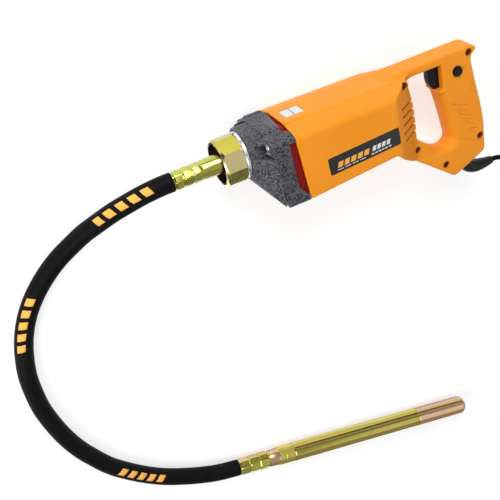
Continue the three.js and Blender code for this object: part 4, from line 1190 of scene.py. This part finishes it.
button = [
    (14.6, 0), (14.6, 3), (17.8, 3), (17.8, 8.4), (23, 8.4), (24, 7.8), (24.4, 6.6), (24.6, 3.5), (24.7, 0),
]
turned_piece("lock_button_domed", button, across(*LOCK), BLACK, "lock_button", "black_plastic", "lock_button",
             64)
# The screw heads take a reddish-brown that paints in the shade of the orange holes round them.
for i, place in enumerate(SCREWS):
    y = 31.5 if place == BOSS_SCREW else 16  # where the head starts
    head = [
        (-15, 0), (-13, 1.8), (y, 1.8), (y, 5.3), (y + 0.5, 5.6), (y + 2.1, 5.6), (y + 3, 4.6), (y + 3.2, 0),
    ]
    depth, across_slot, along_slot = (y + 1.7, y + 5), (-0.7, 0.7), (-3.1, 3.1)
    recess = [box(depth, across_slot, along_slot), box(depth, along_slot, across_slot)]
    turned_piece(f"housing_screw_{i + 1}_pan_head", head, across(*place), SCREW_STEEL_AND_SHADE, "machine", "dark_steel",
                 f"housing_screw_{i + 1}", 40, None, recess)

# The strain relief bends back as it leaves the handle, and thins out along its length.
SLEEVE_XZ = [(-320.5, -160), (-324.5, -170), (-332, -178.5), (-344, -184), (-360, -186), (-377, -186)]
sleeve_path = smooth_path([MACHINE @ Vector((x, 0, z)) for x, z in SLEEVE_XZ], 0.0012)
sleeve_radii = []
for i in range(len(sleeve_path)):
    share = i / (len(sleeve_path) - 1)
    sleeve_radii.append(MM * (13 - 6.4 * share + 1.8 * math.sin(math.pi * share)))
strain_relief = tube("strain_relief_sleeve", sleeve_path, sleeve_radii, 40, GLOSSY_RUBBER)
settle(strain_relief, "machine", "black_rubber", "cord_sleeve")

# ---- labels and printed marks: plain bars, no words ----
LABEL_FRAME = MACHINE @ LABEL_PLACE
PLATE_Y = 65.6
PRINT_Y = 65.98


def slanted(u, width, low, high):
    """One slanted bar printed on the label."""
    shift = -0.35 * (high - low)
    corners = [(u, low), (u + width, low), (u + width + shift, high), (u + shift, high)]
    return prism(corners, "y", PRINT_Y, PRINT_Y + 0.1)


label_outline = outline(
    (-59, -14.2), (59, -14.2), (62.5, -14.2, 62.5, -11), (62.5, 11), (62.5, 14.2, 59, 14.2), (-59, 14.2),
    (-62.5, 14.2, -62.5, 11), (-62.5, -11), (-62.5, -14.2, -59, -14.2),
)
plate = rounded_plate(label_outline[:-1], [], 0.4, 0.1)
plate.data.transform(Matrix.Translation((0, PLATE_Y, 0)))
settle(shown("side_label_plate", plate, LABEL_FRAME, LABEL, 30), "machine", "label_black", "side_label")
orange_bars = [slanted(41 - 11.5 * k, 8.6, -6.5, 2.5) for k in range(5)]
white_bars = [slanted(-18 - 8.4 * k, 6.2, -5.2, 2.6) for k in range(4)]
white_bars += [slanted(40 - 13 * k, 10.5, -10.4, -9.2) for k in range(4)]
white_bars += [slanted(-14 - 6.2 * k, 4.6, -10.4, -8.4) for k in range(6)]
settle(shown("label_orange_bars", merged(orange_bars), LABEL_FRAME, PRINT_ORANGE), "machine", "label_black")
settle(shown("label_pale_bars", merged(white_bars), LABEL_FRAME, PRINT_WHITE), "machine", "label_black")

BADGE_FRAME = MACHINE @ Matrix.Translation((0, 0, 37.15)) @ Matrix.Rotation(-ROOF_FALL, 4, "Y")
badge = modified(box((-44, -12), (-14, 14), (-1, 0.3)), "BEVEL", width=0.25, segments=2)
settle(shown("top_badge_plate", badge, BADGE_FRAME, BADGE, 30), "machine", "label_grey", "top_badge")
squares = [box((-42.6, -29), (-12.4, 12.4), (0.28, 0.4)), box((-27, -13.4), (-12.4, 12.4), (0.28, 0.4))]
settle(shown("badge_squares", merged(squares), BADGE_FRAME, BADGE_PALE), "machine", "label_grey")
divider = prism([(-28.6, -11), (-27.4, -11), (-27.4, 6), (-25, 11), (-26.4, 11), (-28.6, 7)], "z", 0.28, 0.42)
settle(shown("badge_divider", divider, BADGE_FRAME, BADGE_LINE), "machine", "label_grey")


def along_path(path, distance):
    """The point and the direction at a distance along a path."""
    for a, b in zip(path, path[1:]):
        step = (b - a).length
        if distance <= step:
            return a.lerp(b, distance / step), (b - a).normalized()
        distance -= step
    return path[-1], (path[-1] - path[-2]).normalized()


HOSE_MARKS = [(0.083, 1), (0.335, 1), (0.750, -1)]  # distance along the hose, and which way the blocks lean
MARK_FACES = Vector((0.26, -0.53, 0.81))  # the direction that the blocks face
MARK_PITCH = 0.0195
MARK_WIDTH = 0.0125
MARK_HALF = 0.0068  # half height, round the hose
MARK_SLANT = 0.35
MARK_R = HOSE_R + 0.00008


def hose_marks(name, centre, flip):
    """Five slanted blocks printed along the hose."""
    mesh = bmesh.new()
    for k in range(5):
        start = centre + (k - 2.5) * MARK_PITCH
        grid = []
        for i in range(5):
            row = []
            for j in range(7):
                rise = (j / 6 * 2 - 1) * MARK_HALF
                point, ahead = along_path(hose_path, start + MARK_WIDTH * i / 4 + flip * MARK_SLANT * rise)
                out = (MARK_FACES - MARK_FACES.dot(ahead) * ahead).normalized()
                side = ahead.cross(out)
                turn = rise / HOSE_R
                row.append(mesh.verts.new(point + MARK_R * (math.cos(turn) * out + math.sin(turn) * side)))
            grid.append(row)
        for low, high in zip(grid, grid[1:]):
            for j in range(6):
                mesh.faces.new((low[j], high[j], high[j + 1], low[j + 1]))
    made = piece(name, mesh, PRINT_YELLOW)
    modifier = made.modifiers.new("thickness", "SOLIDIFY")
    modifier.thickness = 0.0001
    return settle(made, "machine", "black_rubber")


for i, (centre, flip) in enumerate(HOSE_MARKS):
    hose_marks(f"hose_marks_{i + 1}", centre, flip)

# ---- plug and the coil's tie ----
coil_x, coil_y = COIL_CENTRE
PLUG = Matrix.Translation((coil_x - 0.0525, coil_y + 0.033, 0.013))
PLUG = PLUG @ Matrix.Rotation(math.pi / 2, 4, "Z") @ Matrix.Scale(MM, 4)
PIN_Y = (-9.5, 9.5)


def finger_grips(x, r, angle):
    """Radius change of the plug's end: wide grooves along it."""
    return r - (0.5 if 58 < x < 73 and int(angle * 12 / math.pi) % 2 else 0)


plug = [(32.3, 0), (32.3, 5.2)]
plug += [(34 + 2 * k, 5.5 + 0.12 * k - (0.7 if k % 2 else 0)) for k in range(7)]
plug += [(49, 8), (52, 10.6), (57, 12.2), (62, 12.7), (72.3, 12.7), (73.7, 12), (74.3, 10.7), (74.3, 0)]
pin_bores = [round_bar("x", (y, 0), 2.65, 65, 80) for y in PIN_Y]
on_lead = [turned_piece("plug_moulding", plug, PLUG, RUBBER, "machine", "black_rubber", "plug_body", 96,
                        finger_grips, pin_bores)]
pin = [(66.3, 0), (66.3, 2.4), (91.5, 2.4), (92.8, 1.6), (93.3, 0)]
for i, y in enumerate(PIN_Y):
    on_lead.append(turned_piece(f"plug_pin_{i + 1}_round", pin, PLUG, BRIGHT, "machine", "bright_steel",
                                f"plug_pin_{i + 1}", 32, None, (), (y, 0)))

tie = box((-4, 4), (-58.4, -29.4), (0.05, 19.2))
combine(tie, [box((-6, 6), (-57.2, -30.6), (0.3, 18.1))], "DIFFERENCE")
modified(tie, "BEVEL", width=0.4, segments=2)
knot = modified(box((-5, 5), (-47.5, -40), (19, 22.4)), "BEVEL", width=1.4, segments=3)
combine(tie, [knot], "UNION")
tie_frame = Matrix.Translation((coil_x, coil_y, 0)) @ Matrix.Rotation(math.radians(100), 4, "Z")
tie_frame = tie_frame @ Matrix.Scale(MM, 4)
on_lead.append(settle(shown("coil_tie", tie, tie_frame, BLACK, 30), "machine", "black_plastic"))
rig.cord(cord, exit=CORD_ROUTE[0], length=run_length(cord_path), diameter=2 * CORD_R, far_end="plug",
        stiffness="medium", lay="coiled", path=[tuple(p) for p in cord_path], with_pieces=on_lead)

# ---- CAD nodes that stay ----
KEPT = {
    "orange_plastic": ORANGE, "black_plastic": BLACK, "red_plastic": RED, "black_rubber": RUBBER,
    "painted_casting": CASTING, "yellow_zinc": ZINC_NUT, "bare_aluminium": ALUMINIUM, "bright_steel": BRIGHT,
    "dark_steel": DARK, "laminations": LAMINATE, "copper_windings": COPPER, "brass_parts": BRASS,
    "carbon": CARBON, "label_black": LABEL, "label_grey": BADGE,
}
slots = {s["node"]: s["material_slot"] for s in frame["record"]["subparts"]}
for name, node in frame["nodes"].items():
    for slot in node.material_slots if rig.alive(node) else ():
        slot.material = KEPT[slots[name]]

# ---- the extents of the CAD model and of the rebuilt scene ----
visual_box = [list(map(float, corner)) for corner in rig.bounds()]
with open("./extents.json", "w") as out:
    json.dump({"cad": CAD_BOX, "visual": visual_box}, out)
